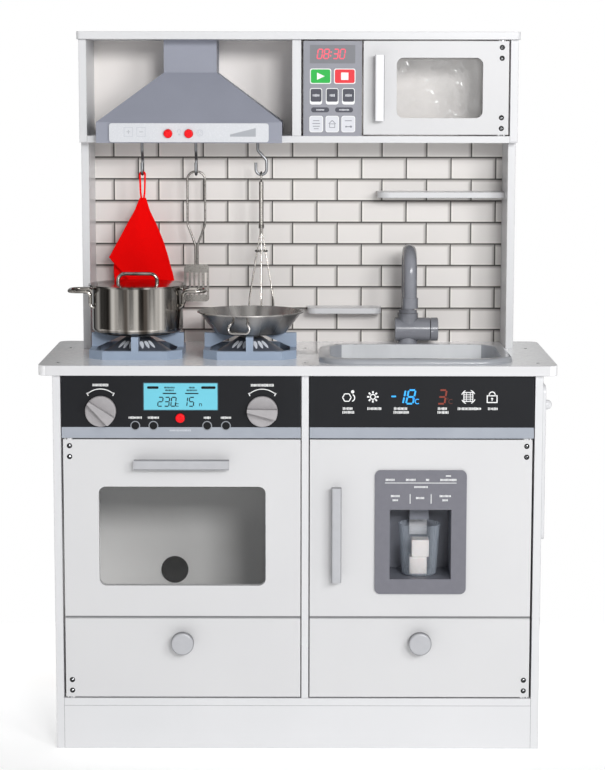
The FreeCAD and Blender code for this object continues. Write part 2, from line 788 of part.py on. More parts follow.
def microwave():
    save("microwave_panel", block(micro_panel_x, (box_y, box_y + board), (box_floor, micro_z[1])))
    door = block(micro_x, (box_y, box_y + board), micro_z)
    window_x = sum(micro_x) / 2 + micro_window_offset
    door = door.cut(window_hole(window_x, micro_middle_z, micro_window_size, box_y))
    save("microwave_door", hinge_screw_holes(door, box_y, micro_pivot_x, micro_z, board))
    glazing_sheet("microwave_window", window_x, micro_middle_z, micro_window_size, box_y, micro_window_lap)
    bar_handle("microwave_handle", micro_x[0] + micro_handle_inset, micro_middle_z,
               micro_handle_length, box_y, True)
    pivot_hinges("microwave_door_hinges", micro_pivot_x, -1, box_y, micro_z, micro_pivot_x)


# ---- upper unit ----
def ledge(left, size, radii):
    """Shelf board on the tiled wall; the radii round its four corners, front left first."""
    length, deep, low = size
    x = (left, left + length)
    y = (sheet_y - deep, sheet_y)
    z = worktop_z + low
    outline = [(x[0], y[0], z), (x[1], y[0], z), (x[1], y[1], z), (x[0], y[1], z)]
    return plate(outline, radii, (0, 0, ledge_thick))


def upper_unit():
    """Two tall sides, narrow below and deeper beside the box, with the boards they carry."""
    for name, x in (("tall_side_left", -tall_half), ("tall_side_right", tall_in)):
        outline = [(x, post_y, worktop_z), (x, sheet_y, worktop_z), (x, sheet_y, top_under),
                   (x, box_y, top_under), (x, box_y, box_z), (x, post_y, box_z)]
        save(name, plate(outline, [0, 0, 0, 0, notch_corner, 0], (board, 0, 0)))
    half_top = tall_half + top_side_overhang
    top = rounded_block((-half_top, half_top), (top_y, back_y), (top_under, height), top_corner, (0, 0, 1))
    save("top_board", top.cut(pivot_hole((micro_pivot_x, micro_pivot_y, top_under), 1)))
    shelf = block((-tall_in, tall_in), (box_y, sheet_y), (box_z, box_floor))
    shelf = shelf.cut(pivot_hole((micro_pivot_x, micro_pivot_y, box_floor), -1))
    for x in hook_x:
        thread = cylinder((hob_x + x, hook_y, box_z), (0, 0, 1), hook_wire / 2 + pin_clear, hook_thread)
        shelf = shelf.cut(thread)
    save("box_shelf", shelf)
    save("box_divider", block((bay_right, micro_left), (box_y, sheet_y), (box_floor, top_under)))
    save("upper_back_panel", block((-tall_half, tall_half), (sheet_y, back_y), (worktop_z, top_under)))
    long_one = ledge(tall_in - long_ledge[0], long_ledge, [long_ledge_corner, 0, 0, 0])
    save("wall_ledges", long_one, ledge(short_ledge_x, short_ledge, [short_ledge_corner] * 2 + [0, 0]))


# ---- cooker hood ----
def hood_body(inset):
    """Band, sloping canopy and chimney, each side moved in by the inset."""
    x = hood_middle
    band_top = box_floor + hood_band
    neck = top_under - chimney_height
    half = hood_half - inset
    pipe = chimney_width / 2 - inset
    front = hood_y + inset
    pipe_front = hood_y + chimney_setback + inset
    lower = [(x - half, front, band_top), (x + half, front, band_top),
             (x + half, sheet_y, band_top), (x - half, sheet_y, band_top)]
    upper = [(x - pipe, pipe_front, neck), (x + pipe, pipe_front, neck),
             (x + pipe, sheet_y, neck), (x - pipe, sheet_y, neck)]
    canopy = Part.makeLoft([path(lower, [0] * 4, True), path(upper, [0] * 4, True)], True, True)
    band = block((x - half, x + half), (front, sheet_y), (box_floor, band_top))
    pipe_block = block((x - pipe, x + pipe), (pipe_front, sheet_y), (neck, top_under))
    return band.fuse([canopy, pipe_block])


def hood():
    x = hood_middle
    shell = hood_body(0).cut(hood_body(hood_wall))
    apron = block(around(x, 2 * hood_half), (hood_y, box_y), (box_z, box_floor))
    inner = 2 * (hood_half - hood_wall)
    apron = apron.cut(block(around(x, inner), (hood_y + hood_wall, box_y), (box_z, box_floor)))
    shell = shell.fuse(apron).removeSplitter()
    front = hood_y - fascia_thick
    low = box_z + fascia_lift
    fascia = rounded_block(around(x, 2 * (hood_half - fascia_margin)), (front, hood_y),
                           (low, low + fascia_height), fascia_corner, (0, 1, 0))
    level = box_z + hood_button_z
    wall = fascia_thick + hood_wall
    for name, offset in zip(("hood_button_left", "hood_button_right"), hood_button_x):
        hole = cylinder((x + offset, front, level), (0, 1, 0), hood_button_radius + button_clear, wall)
        shell = shell.cut(hole)
        fascia = fascia.cut(hole)
        push_button(name, x + offset, front, level, hood_button_radius, wall)
    save("hood_shell", shell)
    save("hood_fascia", fascia)


# ---- hob ----
def cut_square(x, half, corner, rise):
    """Square slab on the worktop with its four corners cut off."""
    near = half - corner
    spots = [(near, -half), (half, -near), (half, near), (near, half),
             (-near, half), (-half, near), (-half, -near), (-near, -half)]
    points = [(x + across, grate_y + along, worktop_z) for across, along in spots]
    return plate(points, [0] * 8, (0, 0, rise))


def grate(x):
    """Square ring with cut corners and four fingers that carry a pan above the burner."""
    half = grate_size / 2
    inner = half - grate_wall
    ring = cut_square(x, half, grate_corner, grate_wall_height)
    ring = ring.cut(cut_square(x, inner, grate_inner_corner, grate_wall_height))
    outline = [(half, 0), (half, grate_height), (finger_tip, grate_height),
               (finger_tip, grate_height - finger_nose), (inner, grate_wall_height), (inner, 0)]
    points = [(x + out, grate_y - finger_thick / 2, worktop_z + rise) for out, rise in outline]
    for turn in range(4):
        finger = plate(points, [0] * 6, (0, finger_thick, 0))
        finger.rotate(Vec(x, grate_y, 0), Vec(0, 0, 1), 90 * turn)
        ring = ring.fuse(finger)
    return ring.removeSplitter()


def hob():
    save("hob_grates", *[grate(x) for x in grate_x])
    caps = []
    for x in grate_x:
        foot = cylinder((x, grate_y, worktop_z), (0, 0, 1), cap_radius, cap_foot)
        dome = cone((x, grate_y, worktop_z + cap_foot), (0, 0, 1), cap_radius, cap_top_radius,
                    cap_height - cap_foot)
        caps.append(foot.fuse(dome))
    save("burner_caps", *caps)


# ---- sink and tap ----
def sink_block(inset, low, high):
    """The sink's outline moved in by an inset, between two levels."""
    return rounded_block((sink_x[0] + inset, sink_x[1] - inset), (sink_y[0] + inset, sink_y[1] - inset),
                         (low, high), sink_corner - inset, (0, 0, 1))


def sink():
    floor = worktop_z - sink_depth
    low = floor + sink_wall
    top = worktop_z + rim_height
    rim = round_above(sink_block(0, worktop_z, top), rim_round, top - 0.01)
    outer = round_below(sink_block(rim_width - sink_wall, floor, worktop_z), sink_floor_round, floor + 0.01)
    inner = round_below(sink_block(rim_width, low, top), sink_floor_round - sink_wall, low + 0.01)
    save("sink_basin", rim.fuse(outer).cut(inner).removeSplitter())


def tap():
    left = tap_x - tap_body_left
    right = tap_x + tap_body_right
    neck = cone((tap_x, tap_y, worktop_z), (0, 0, 1), tap_foot_radius, tap_stem_radius, tap_neck)
    stem = cylinder((tap_x, tap_y, worktop_z + tap_neck), (0, 0, 1), tap_stem_radius, tap_stem_radius)
    tee = cylinder((left, tap_y, tap_axis_z), (1, 0, 0), tap_body_radius, right - left)
    tee = tee.makeFillet(tap_edge, [edge for edge in tee.Edges if len(edge.Vertexes) == 1])
    collar = cylinder((tap_x, tap_y, tap_axis_z), (0, 0, 1), collar_radius, collar_top - tap_axis_z)
    peg_hole = cylinder((tap_x, tap_y, collar_top), (0, 0, -1), peg_radius + pin_clear, peg_depth + seat_gap)
    end_hole = cylinder((right, tap_y, tap_axis_z), (-1, 0, 0), shaft_radius + pin_clear, tap_shaft)
    save("tap_body", neck.fuse([stem, tee, collar]).cut(peg_hole.fuse(end_hole)).removeSplitter())

    base = collar_top + seat_gap
    bend_z = worktop_z + spout_top - spout_radius
    end_y = tap_y - spout_reach
    end_z = worktop_z + nozzle_z
    points = [(tap_x, tap_y, base), (tap_x, tap_y, bend_z), (tap_x, end_y, bend_z),
              (tap_x, end_y, end_z + nozzle_length)]
    bend = spout_reach / 2 - 0.5
    tube = bent_bar(points, [0, bend, bend, 0], 2 * spout_radius)
    foot = cylinder((tap_x, tap_y, base), (0, 0, 1), spout_foot_radius, spout_foot)
    peg = cylinder((tap_x, tap_y, base), (0, 0, -1), peg_radius, peg_depth)
    nozzle = cylinder((tap_x, end_y, end_z), (0, 0, 1), nozzle_radius, nozzle_length)
    outlet = cylinder((tap_x, end_y, end_z), (0, 0, 1), outlet_radius, outlet_depth)
    save("tap_spout", tube.fuse([foot, peg, nozzle]).cut(outlet).removeSplitter())

    cap_x = right + tap_cap_gap
    cap = cylinder((cap_x, tap_y, tap_axis_z), (1, 0, 0), tap_body_radius, tap_cap_length)
    cap = cap.makeFillet(tap_edge, [edge for edge in cap.Edges if edge.BoundBox.XMin > cap_x + 1])
    shaft = cylinder((cap_x, tap_y, tap_axis_z), (-1, 0, 0), shaft_radius, tap_shaft)
    save("tap_knob", cap.fuse(shaft))


# ---- cookware ----
def pot():
    x, y = grate_x[0], grate_y
    inner = pot_radius - pot_wall
    rim = pot_z + pot_height
    profile = [(0, pot_z), (pot_radius, pot_z), (pot_radius, rim), (inner, rim),
               (inner, pot_z + pot_wall), (0, pot_z + pot_wall)]
    body = turned(profile, [0, pot_foot_radius, 0, 0, pot_foot_radius - pot_wall, 0], (x, y))
    low, high = [pot_z + pot_height * share for share in pot_handle_level]
    foot, rise, grip = [pot_radius + out for out in pot_handle_out]
    for side in (-1, 1):
        leg = [(inner - handle_wire, low), (foot, low), (rise, high), (grip, high)]
        points = [(x + side * out, y - pot_handle_half, z) for out, z in leg]
        points += [(x + side * out, y + pot_handle_half, z) for out, z in reversed(leg)]
        body = body.fuse(bent_bar(points, [0, 6, 7, 13, 13, 7, 6, 0], handle_wire))
    start = pot_z + pot_foot_radius + 1
    inside = turned([(0, start), (inner, start), (inner, rim), (0, rim)], [0] * 4, (x, y))
    save("pot_body", body.cut(inside))

    top = lid_z + lid_rise
    lid = turned([(0, top - pot_wall), (lid_radius - lid_flat, lid_z), (lid_radius, lid_z),
                  (lid_radius, lid_z + lid_rim), (lid_radius - lid_flat, lid_z + lid_rim + pot_wall / 2),
                  (0, top)], [0] * 6, (x, y))
    half = lid_handle_half
    root = lid_z + lid_rim
    peak = root + lid_handle_rise
    points = [(x - half, y, root), (x - half, y, peak), (x + half, y, peak), (x + half, y, root)]
    bow = bent_bar(points, [0, lid_handle_bend, lid_handle_bend, 0], handle_wire)
    save("pot_lid", lid.fuse(bow))


def pan():
    x, y = grate_x[1], grate_y
    base = grate_top + seat_gap
    top = base + pan_height
    lip_width, lip_thick = pan_lip
    wall_top = pan_radius - lip_width
    inner = wall_top - pan_wall
    floor = pan_base_radius - pot_wall
    profile = [(0, base), (pan_base_radius, base), (wall_top, top - lip_thick), (pan_radius, top - lip_thick),
               (pan_radius, top), (inner, top), (floor, base + pot_wall), (0, base + pot_wall)]
    body = turned(profile, [0, 5, 0, 0, 0, 0, 4, 0], (x, y))
    inside = turned([(0, base + pot_wall), (floor, base + pot_wall), (inner, top), (0, top)], [0] * 4, (x, y))
    mount_z = top - pan_mount_drop
    wall_radius = pan_base_radius + (pan_radius - pan_base_radius) * (mount_z - base) / pan_height
    near, far = pan_handle_half
    leg = [(near, wall_radius - pan_wire, mount_z), (near, wall_radius + pan_handle_out[0], mount_z + 1),
           (far, wall_radius + pan_handle_out[1], mount_z - pan_handle_drop)]
    points = [(x - side, y - out, z) for side, out, z in leg]
    points += [(x + side, y - out, z) for side, out, z in reversed(leg)]
    for turn in (0, 180):
        loop = bent_bar(points, [0, 4, 6, 6, 4, 0], pan_wire)
        loop.rotate(Vec(x, y, 0), Vec(0, 0, 1), turn - pan_turn)
        body = body.fuse(loop.cut(inside))
    save("pan", body)


# ---- hooks and what hangs on them ----
def hook(x, facing_front):
    """Screw hook shaped like a question mark; facing_front opens it towards the viewer."""
    bottom = box_z - hook_drop
    run = [(0, box_z + hook_thread), (0, box_z - hook_neck),
           (hook_shift + hook_bowl, box_z - hook_shoulder), (hook_shift + hook_bowl, bottom),
           (hook_shift - hook_bowl, bottom), (hook_shift - hook_bowl, bottom + hook_tip)]
    if facing_front:
        points = [(x, hook_y + out, z) for out, z in run]
    else:
        points = [(x + out, hook_y, z) for out, z in run]
    bowl = hook_bowl - 0.05
    return bent_bar(points, [0, hook_bend, hook_bend, bowl, bowl, 0], hook_wire)


def whisk():
    """Ring, straight handle and three balloon wires, one inside the other."""
    ring_z = hook_rest + seat_gap - (whisk_ring - whisk_ring_wire / 2)
    ring = Part.makeTorus(whisk_ring, whisk_ring_wire / 2, Vec(whisk_x, hook_y, ring_z), Vec(1, 0, 0))
    top = ring_z - whisk_ring
    low = top - whisk_handle_length
    grip = cylinder((whisk_x, hook_y, top), (0, 0, -1), whisk_handle_radius, whisk_handle_length)
    solid = ring.fuse(grip)
    for turn in range(3):
        bottom = worktop_z + whisk_clear + whisk_nest * turn
        half = [(whisk_neck, low + 3), (whisk_neck, low - 8), (whisk_radius, bottom + whisk_belly),
                (whisk_radius, bottom)]
        points = [(whisk_x + out, hook_y, z) for out, z in half]
        points += [(whisk_x - out, hook_y, z) for out, z in reversed(half)]
        wire = bent_bar(points, [0, 30, 40, 19, 19, 40, 30, 0], whisk_wire)
        wire.rotate(Vec(whisk_x, hook_y, 0), Vec(0, 0, 1), 30 + 60 * turn)
        solid = solid.fuse(wire)
    save("whisk", solid)


def turner():
    """Bent wire handle with a slotted blade welded to the front of its shank."""
    crest = hook_rest + seat_gap + turner_wire / 2
    low = crest - turner_handle
    half = [(turner_pair, low - turner_shank), (turner_pair, low), (turner_half, low + turner_taper),
            (turner_half, crest)]
    points = [(turner_x - out, bowl_y, z) for out, z in half]
    points += [(turner_x + out, bowl_y, z) for out, z in reversed(half)]
    handle = bent_bar(points, [0] + [turner_bend] * 6 + [0], turner_wire)
    across, tall, thick = turner_blade
    face = bowl_y - turner_wire / 2
    top = low - turner_shank + weld_size[1] + 1
    bottom = top - tall
    blade = rounded_block(around(turner_x, across), (face - thick, face), (bottom, top), 5, (0, 1, 0))
    for i in range(slot_count):
        slot_x = turner_x + (i - (slot_count - 1) / 2) * slot_pitch
        blade = blade.cut(block(around(slot_x, slot_width), (face - thick, face),
                                (bottom + slot_margin[0], top - slot_margin[1])))
    weld = block(around(turner_x, weld_size[0]), (face, bowl_y), (top - 1 - weld_size[1], top - 1))
    save("turner", handle.fuse([weld, blade]).removeSplitter())


def pot_cloth():
    """Folded cloth hanging by a sewn loop."""
    strand = cloth_strand / 2
    half = hook_wire / 2 + strand + 2 * seat_gap
    crest = hook_rest + seat_gap + strand
    apex = crest - cloth_loop
    foot = apex - cloth_thick / 2
    bend = half - 0.05
    loop = bent_bar([(cloth_x - half, bowl_y, foot), (cloth_x - half, bowl_y, crest),
                     (cloth_x + half, bowl_y, crest), (cloth_x + half, bowl_y, foot)],
                    [0, bend, bend, 0], cloth_strand)
    scale = (apex - worktop_z - cloth_clear) / cloth_drawn
    front = bowl_y - cloth_thick / 2
    points = [(cloth_x + across * scale, front, apex + down * scale) for across, down, _ in cloth_outline]
    body = plate(points, [radius * scale for _, _, radius in cloth_outline], (0, cloth_thick, 0))
    save("pot_cloth", loop.fuse(body).removeSplitter())


# ---- rail board with round pegs on the right side ----
def side_rail():
    x = side_out + rail_thick
    top = rail_bottom + rail_height
    rail = rounded_block((side_out, x), (rail_y, rail_y + rail_length), (rail_bottom, top),
                         rail_corner, (1, 0, 0))
    z = top - peg_drop
    for i in range(peg_count):
        y = rail_y + peg_inset + i * peg_pitch
        stem = cylinder((x, y, z), (1, 0, 0), peg_head_radius, peg_stem)
        head = Part.makeSphere(peg_head_radius, Vec(x + peg_stem, y, z))
        outside = cylinder((x, y, z), (1, 0, 0), peg_head_radius, peg_stem + peg_head_radius)
        rail = rail.fuse([stem, head.common(outside)])
    save("side_rail", rail.removeSplitter())


lower_cabinet()
worktop()
control_panels()
panel_fittings()
oven_door()
fridge_door()
dispenser_housing()
dispenser_fittings()
microwave()
upper_unit()
hood()
hob()
sink()
tap()
pot()
pan()
first_hook = hook(cloth_x, True)
second_hook = hook(turner_x, True)
save("utensil_hooks", first_hook, second_hook, hook(whisk_x - hook_shift, False))
whisk()
turner()
pot_cloth()
side_rail()
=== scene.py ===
import bmesh
import bpy
import math
from mathutils import Matrix, Vector


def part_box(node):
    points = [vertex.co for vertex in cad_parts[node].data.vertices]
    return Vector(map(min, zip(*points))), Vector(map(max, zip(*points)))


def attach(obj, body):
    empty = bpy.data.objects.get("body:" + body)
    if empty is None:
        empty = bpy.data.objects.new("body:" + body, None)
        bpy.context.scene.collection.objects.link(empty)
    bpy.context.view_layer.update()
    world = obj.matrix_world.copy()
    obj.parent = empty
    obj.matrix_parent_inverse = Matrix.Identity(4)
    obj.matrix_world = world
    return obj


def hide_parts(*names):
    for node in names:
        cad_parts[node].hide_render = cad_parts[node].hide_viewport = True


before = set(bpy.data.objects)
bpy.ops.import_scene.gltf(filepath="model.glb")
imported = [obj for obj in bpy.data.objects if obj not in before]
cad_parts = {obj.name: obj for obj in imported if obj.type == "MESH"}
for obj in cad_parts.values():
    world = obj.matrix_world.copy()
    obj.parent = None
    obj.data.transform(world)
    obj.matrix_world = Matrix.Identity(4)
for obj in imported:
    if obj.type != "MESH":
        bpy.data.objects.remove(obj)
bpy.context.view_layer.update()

# ---- Cabinet boards ----
# Sides, shelves, posts, top board, ledges and peg rail are MDF faced with white melamine foil.
# The foil is pressed on, so it has a fine pebble grain and a low, even sheen; screws hold the boards.
BOARD_WHITE = "#d6d6d8"
BOARD_SHADE = "#cecfd1"
FOIL_GRAIN = 1.1          # mm


def linear(code):
    """sRGB hex colour as linear values for a shader."""
    values = [int(code[i:i + 2], 16) / 255 for i in (1, 3, 5)]
    return tuple(v / 12.92 if v <= 0.04045 else ((v + 0.055) / 1.055) ** 2.4 for v in values) + (1.0,)


def add_node(tree, kind, inputs=(), **settings):
    """Adds a node with its settings; an input is given a value or the socket that feeds it."""
    node = tree.nodes.new(kind)
    for key, value in settings.items():
        setattr(node, key, value)
    for key, value in dict(inputs).items():
        if isinstance(value, bpy.types.NodeSocket):
            tree.links.new(value, node.inputs[key])
        else:
            node.inputs[key].default_value = value
    return node


def new_finish(name, colour, roughness, **surface):
    """Material with its shader set; returns the material, its tree, the shader and Object coordinates."""
    material = bpy.data.materials.new(name)
    material.use_nodes = True
    tree = material.node_tree
    shader = tree.nodes["Principled BSDF"]
    shader.inputs["Base Color"].default_value = linear(colour)
    shader.inputs["Roughness"].default_value = roughness
    for key, value in surface.items():
        shader.inputs[key.replace("_", " ").title().replace("Ior", "IOR")].default_value = value
    place = add_node(tree, "ShaderNodeTexCoord").outputs["Object"]
    return material, tree, shader, place


def tone(tree, shader, place, light, dark, size_mm, stretch=(1, 1, 1)):
    """Base colour drifts between two tones over patches of a size in millimetres."""
    spot = add_node(tree, "ShaderNodeMapping", {"Vector": place, "Scale": stretch}).outputs[0]
    noise = add_node(tree, "ShaderNodeTexNoise", {"Vector": spot, "Scale": 1000 / size_mm, "Detail": 3.0})
    mix = add_node(tree, "ShaderNodeMix", {0: noise.outputs[0], 6: linear(dark), 7: linear(light)},
        data_type="RGBA")
    tree.links.new(mix.outputs[2], shader.inputs["Base Color"])
    return mix.outputs[2]


def grain(tree, shader, place, size_mm, depth_mm, stretch=(1, 1, 1), rough=None):
    """Surface grain of a size and depth in millimetres; rough also spreads the roughness."""
    spot = add_node(tree, "ShaderNodeMapping", {"Vector": place, "Scale": stretch}).outputs[0]
    noise = add_node(tree, "ShaderNodeTexNoise", {"Vector": spot, "Scale": 1000 / size_mm, "Detail": 2.0})
    bump = add_node(tree, "ShaderNodeBump",
        {"Height": noise.outputs[0], "Distance": depth_mm / 1000, "Strength": 1.0})
    tree.links.new(bump.outputs[0], shader.inputs["Normal"])
    if rough:
        spread = add_node(tree, "ShaderNodeMapRange",
            {0: noise.outputs[0], 1: 0.3, 2: 0.7, 3: rough[0], 4: rough[1]})
        tree.links.new(spread.outputs[0], shader.inputs["Roughness"])


def eased_edges(tree, shader, colour, dark, radius_mm):
    """A thin line of another tone along sharp edges, where a board's eased corner catches less light."""
    rounded_normal = add_node(tree, "ShaderNodeBevel", {"Radius": radius_mm / 1000}, samples=6)
    flat_normal = add_node(tree, "ShaderNodeNewGeometry")
    agree = add_node(tree, "ShaderNodeVectorMath",
        {0: rounded_normal.outputs[0], 1: flat_normal.outputs["True Normal"]}, operation="DOT_PRODUCT")
    line = add_node(tree, "ShaderNodeMapRange", {0: agree.outputs["Value"], 1: 0.9, 2: 0.995, 3: 1.0, 4: 0.0})
    mix = add_node(tree, "ShaderNodeMix", {0: line.outputs[0], 6: colour, 7: linear(dark)}, data_type="RGBA")
    tree.links.new(mix.outputs[2], shader.inputs["Base Color"])


def give(material, *names):
    """Gives a finish to CAD nodes."""
    for name in names:
        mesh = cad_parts[name].data
        mesh.materials.clear()
        mesh.materials.append(material)


melamine, tree, shader, place = new_finish("white melamine foil on MDF", BOARD_WHITE, 0.34, Coat_Weight=0.15)
eased_edges(tree, shader, tone(tree, shader, place, BOARD_WHITE, BOARD_SHADE, 160), "#77787c", 0.9)
grain(tree, shader, place, FOIL_GRAIN, 0.006, rough=(0.3, 0.4))
give(melamine, "side_panel_left", "side_panel_right", "centre_divider", "bottom_shelf", "kickboard",
    "tall_side_left", "tall_side_right", "top_board", "box_shelf", "box_divider", "wall_ledges", "side_rail")

# ---- Worktop ----
# One thicker board with rounded corners and a glossy white laminate, screwed down into the sides.
# The laminate mirrors the cookware faintly, blurred by its long-wave ripple; its front face is a darker grey,
# painted shade.
laminate, tree, shader, place = new_finish("glossy white laminate", "#e6e6e7", 0.16, Coat_Weight=0.5,
    Coat_Roughness=0.06)
split = add_node(tree, "ShaderNodeSeparateXYZ", {0: place})
# painted shade: the worktop's front face is given a darker grey than its top
front_shade = add_node(tree, "ShaderNodeMath", {0: split.outputs[1], 1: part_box("worktop")[0][1] + 0.0006},
    operation="LESS_THAN")
mix = add_node(tree, "ShaderNodeMix",
    {0: front_shade.outputs[0], 6: tone(tree, shader, place, "#f1f1f2", "#e9e9eb", 220), 7: linear("#d2d2d4")},
    data_type="RGBA")
eased_edges(tree, shader, mix.outputs[2], "#8b8c90", 0.8)
grain(tree, shader, place, 5.0, 0.012, rough=(0.13, 0.2))
give(laminate, "worktop")

# ---- Fasteners ----
# Countersunk worktop screws and dome-headed hinge screws are bright zinc-plated steel.
# Each has a cross recess, drawn as a thin dark cross whose colour is painted shade.
zinc, tree, shader, place = new_finish("bright zinc plate", "#c9cacc", 0.26, Metallic=1.0)
tone(tree, shader, place, "#d6d7d8", "#aeb0b3", 3)
grain(tree, shader, place, 0.8, 0.01, rough=(0.2, 0.34))
give(zinc, "worktop_screws")
# painted shade: the dark finish of the cross recesses
painted_recess_shade, tree, shader, place = new_finish("painted shade in screw recess", "#3a3b3d", 0.6, Metallic=0.6)
tone(tree, shader, place, "#46474a", "#2b2c2e", 1)


def painted_rim_shade(tree, shader, colour, dark, reach, start=0.04):
    """Base colour darkens where the surface turns away: painted shade and reflection, as a polished round
    part shows in a white room.
    """
    edge = add_node(tree, "ShaderNodeLayerWeight", {"Blend": 0.5})
    band = add_node(tree, "ShaderNodeMapRange",
        {0: edge.outputs["Facing"], 1: start, 2: reach, 3: 0.0, 4: 1.0}, interpolation_type="SMOOTHSTEP")
    mix = add_node(tree, "ShaderNodeMix", {0: band.outputs[0], 6: colour, 7: linear(dark)}, data_type="RGBA")
    tree.links.new(mix.outputs[2], shader.inputs["Base Color"])
    return mix.outputs[2]


shoe_finish, tree, shader, place = new_finish("white polyamide shoe with zinc screws", "#e6e6e6", 0.4)
# the screw heads stand in front of the door face, the shoes behind it
HEAD_SKIRT = 0.0002       # m behind the door's face, still part of a head
DOOR_FACE_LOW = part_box("oven_door")[0][1]
DOOR_FACE_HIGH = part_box("microwave_door")[0][1]
split = add_node(tree, "ShaderNodeSeparateXYZ", {0: place})
raised = add_node(tree, "ShaderNodeMath", {0: split.outputs[2], 1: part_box("worktop")[1][2]},
    operation="GREATER_THAN")
face = add_node(tree, "ShaderNodeMapRange",
    {0: raised.outputs[0], 3: DOOR_FACE_LOW + HEAD_SKIRT, 4: DOOR_FACE_HIGH + HEAD_SKIRT})
metal = add_node(tree, "ShaderNodeMath", {0: split.outputs[1], 1: face.outputs[0]}, operation="LESS_THAN")
tree.links.new(metal.outputs[0], shader.inputs["Metallic"])
# painted shade and reflection: the screw heads darken towards their rims
head_rim_shade = painted_rim_shade(tree, shader, linear("#cfd0d3"), "#1f2021", 0.13, 0.03)
mix = add_node(tree, "ShaderNodeMix", {0: metal.outputs[0], 6: linear("#e6e6e6"), 7: head_rim_shade}, data_type="RGBA")
tree.links.new(mix.outputs[2], shader.inputs["Base Color"])
gloss = add_node(tree, "ShaderNodeMapRange", {0: metal.outputs[0], 3: 0.42, 4: 0.16})
tree.links.new(gloss.outputs[0], shader.inputs["Roughness"])
give(shoe_finish, "oven_door_hinges", "fridge_door_hinges", "microwave_door_hinges")


def tree_of(name, sockets):
    """Empty geometry tree with named inputs; returns the tree, its input node and its output node."""
    tree = bpy.data.node_groups.new(name, "GeometryNodeTree")
    tree.interface.new_socket("Geometry", in_out="OUTPUT", socket_type="NodeSocketGeometry")
    for socket, kind in sockets:
        tree.interface.new_socket(socket, in_out="INPUT", socket_type="NodeSocket" + kind)
    return tree, add_node(tree, "NodeGroupInput"), add_node(tree, "NodeGroupOutput")


def grow(name, tree, values, body):
    """Runs a geometry tree and keeps the result as a plain mesh that rides on a body."""
    maker = bpy.data.objects.new(name + "_maker", bpy.data.meshes.new(name + "_maker"))
    bpy.context.collection.objects.link(maker)
    modifier = maker.modifiers.new("grow", "NODES")
    modifier.node_group = tree
    for item in tree.interface.items_tree:
        if item.in_out == "INPUT" and item.name in values:
            modifier[item.identifier] = values[item.name]
    maker.update_tag()
    view = bpy.context.evaluated_depsgraph_get()
    mesh = bpy.data.meshes.new_from_object(maker.evaluated_get(view), preserve_all_data_layers=True,
        depsgraph=view)
    bpy.data.objects.remove(maker)
    piece = bpy.data.objects.new(name, mesh)
    bpy.context.collection.objects.link(piece)
    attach(piece, body)
    return piece


def plain_mesh(name, points, faces):
    mesh = bpy.data.meshes.new(name)
    mesh.from_pydata(points, [], faces)
    mesh.update()
    return mesh


# two crossed slots, set on every point of a mesh of screw places; each lies in its head and shows its face
recess_tree, given, result = tree_of("cross recesses",
    [("Places", "Object"), ("Across", "Vector"), ("Up", "Vector"), ("Finish", "Material")])
places = add_node(recess_tree, "GeometryNodeObjectInfo", {"Object": given.outputs["Places"]})
bar_a = add_node(recess_tree, "GeometryNodeMeshCube", {"Size": given.outputs["Across"]})
bar_b = add_node(recess_tree, "GeometryNodeMeshCube", {"Size": given.outputs["Up"]})
cross = add_node(recess_tree, "GeometryNodeMeshBoolean", {1: bar_a.outputs[0]}, operation="UNION")
recess_tree.links.new(bar_b.outputs[0], cross.inputs[1])
spread = add_node(recess_tree, "GeometryNodeInstanceOnPoints",
    {"Points": places.outputs["Geometry"], "Instance": cross.outputs[0]})
real = add_node(recess_tree, "GeometryNodeRealizeInstances", {0: spread.outputs[0]})
painted = add_node(recess_tree, "GeometryNodeSetMaterial",
    {0: real.outputs[0], "Material": given.outputs["Finish"]})
recess_tree.links.new(painted.outputs[0], result.inputs[0])

SLOT_LONG, SLOT_WIDE, SLOT_DEEP = 0.0034, 0.0007, 0.0004     # m


def screw_recesses(name, places_m, body, upright):
    """Cross recesses at screw heads; upright screws face up, the others face the viewer."""
    spots = bpy.data.objects.new(name + "_places", plain_mesh(name, places_m, []))
    bpy.context.collection.objects.link(spots)
    across = (SLOT_LONG, SLOT_WIDE, SLOT_DEEP) if upright else (SLOT_LONG, SLOT_DEEP, SLOT_WIDE)
    up = (SLOT_WIDE, SLOT_LONG, SLOT_DEEP) if upright else (SLOT_WIDE, SLOT_DEEP, SLOT_LONG)
    grow(name, recess_tree, {"Places": spots, "Across": across, "Up": up, "Finish": painted_recess_shade}, body)
    bpy.data.objects.remove(spots)


def island_boxes(node):
    """Lowest and highest corners of each separate solid in a CAD node."""
    shape = bmesh.new()
    shape.from_mesh(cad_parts[node].data)
    bmesh.ops.remove_doubles(shape, verts=shape.verts, dist=1e-6)
    waiting = set(shape.verts)
    boxes = []
    while waiting:
        group = [waiting.pop()]
        for vert in group:
            near = {edge.other_vert(vert) for edge in vert.link_edges} & waiting
            waiting -= near
            group.extend(near)
        axes = list(zip(*[vert.co for vert in group]))
        boxes.append(([min(axis) for axis in axes], [max(axis) for axis in axes]))
    shape.free()
    return boxes


screw_recesses("worktop_screw_recesses",
    [((low[0] + high[0]) / 2, (low[1] + high[1]) / 2, high[2] + 0.00005) for low,
    high in island_boxes("worktop_screws")], "cabinet", True)
DOME_DIAMETER = 0.0074
for door in ("oven_door", "fridge_door", "microwave_door"):
    heads = [box for box in island_boxes(door + "_hinges")
        if abs(box[1][2] - box[0][2] - DOME_DIAMETER) < 0.0005]
    screw_recesses(door + "_screw_recesses",
        [((low[0] + high[0]) / 2, low[1], (low[2] + high[2]) / 2) for low, high in heads], door, False)

# ---- Lower back and vent ----
# The back is hardboard painted white on its inner face and left brown behind. A black moulded cap
# with a lip closes its round vent hole; the sound module behind the oven panel is the same plastic.
FIBRE = 2.5               # mm
REAR_SKIN = 0.0005        # m in front of a sheet's rear face, where its paint or print has ended


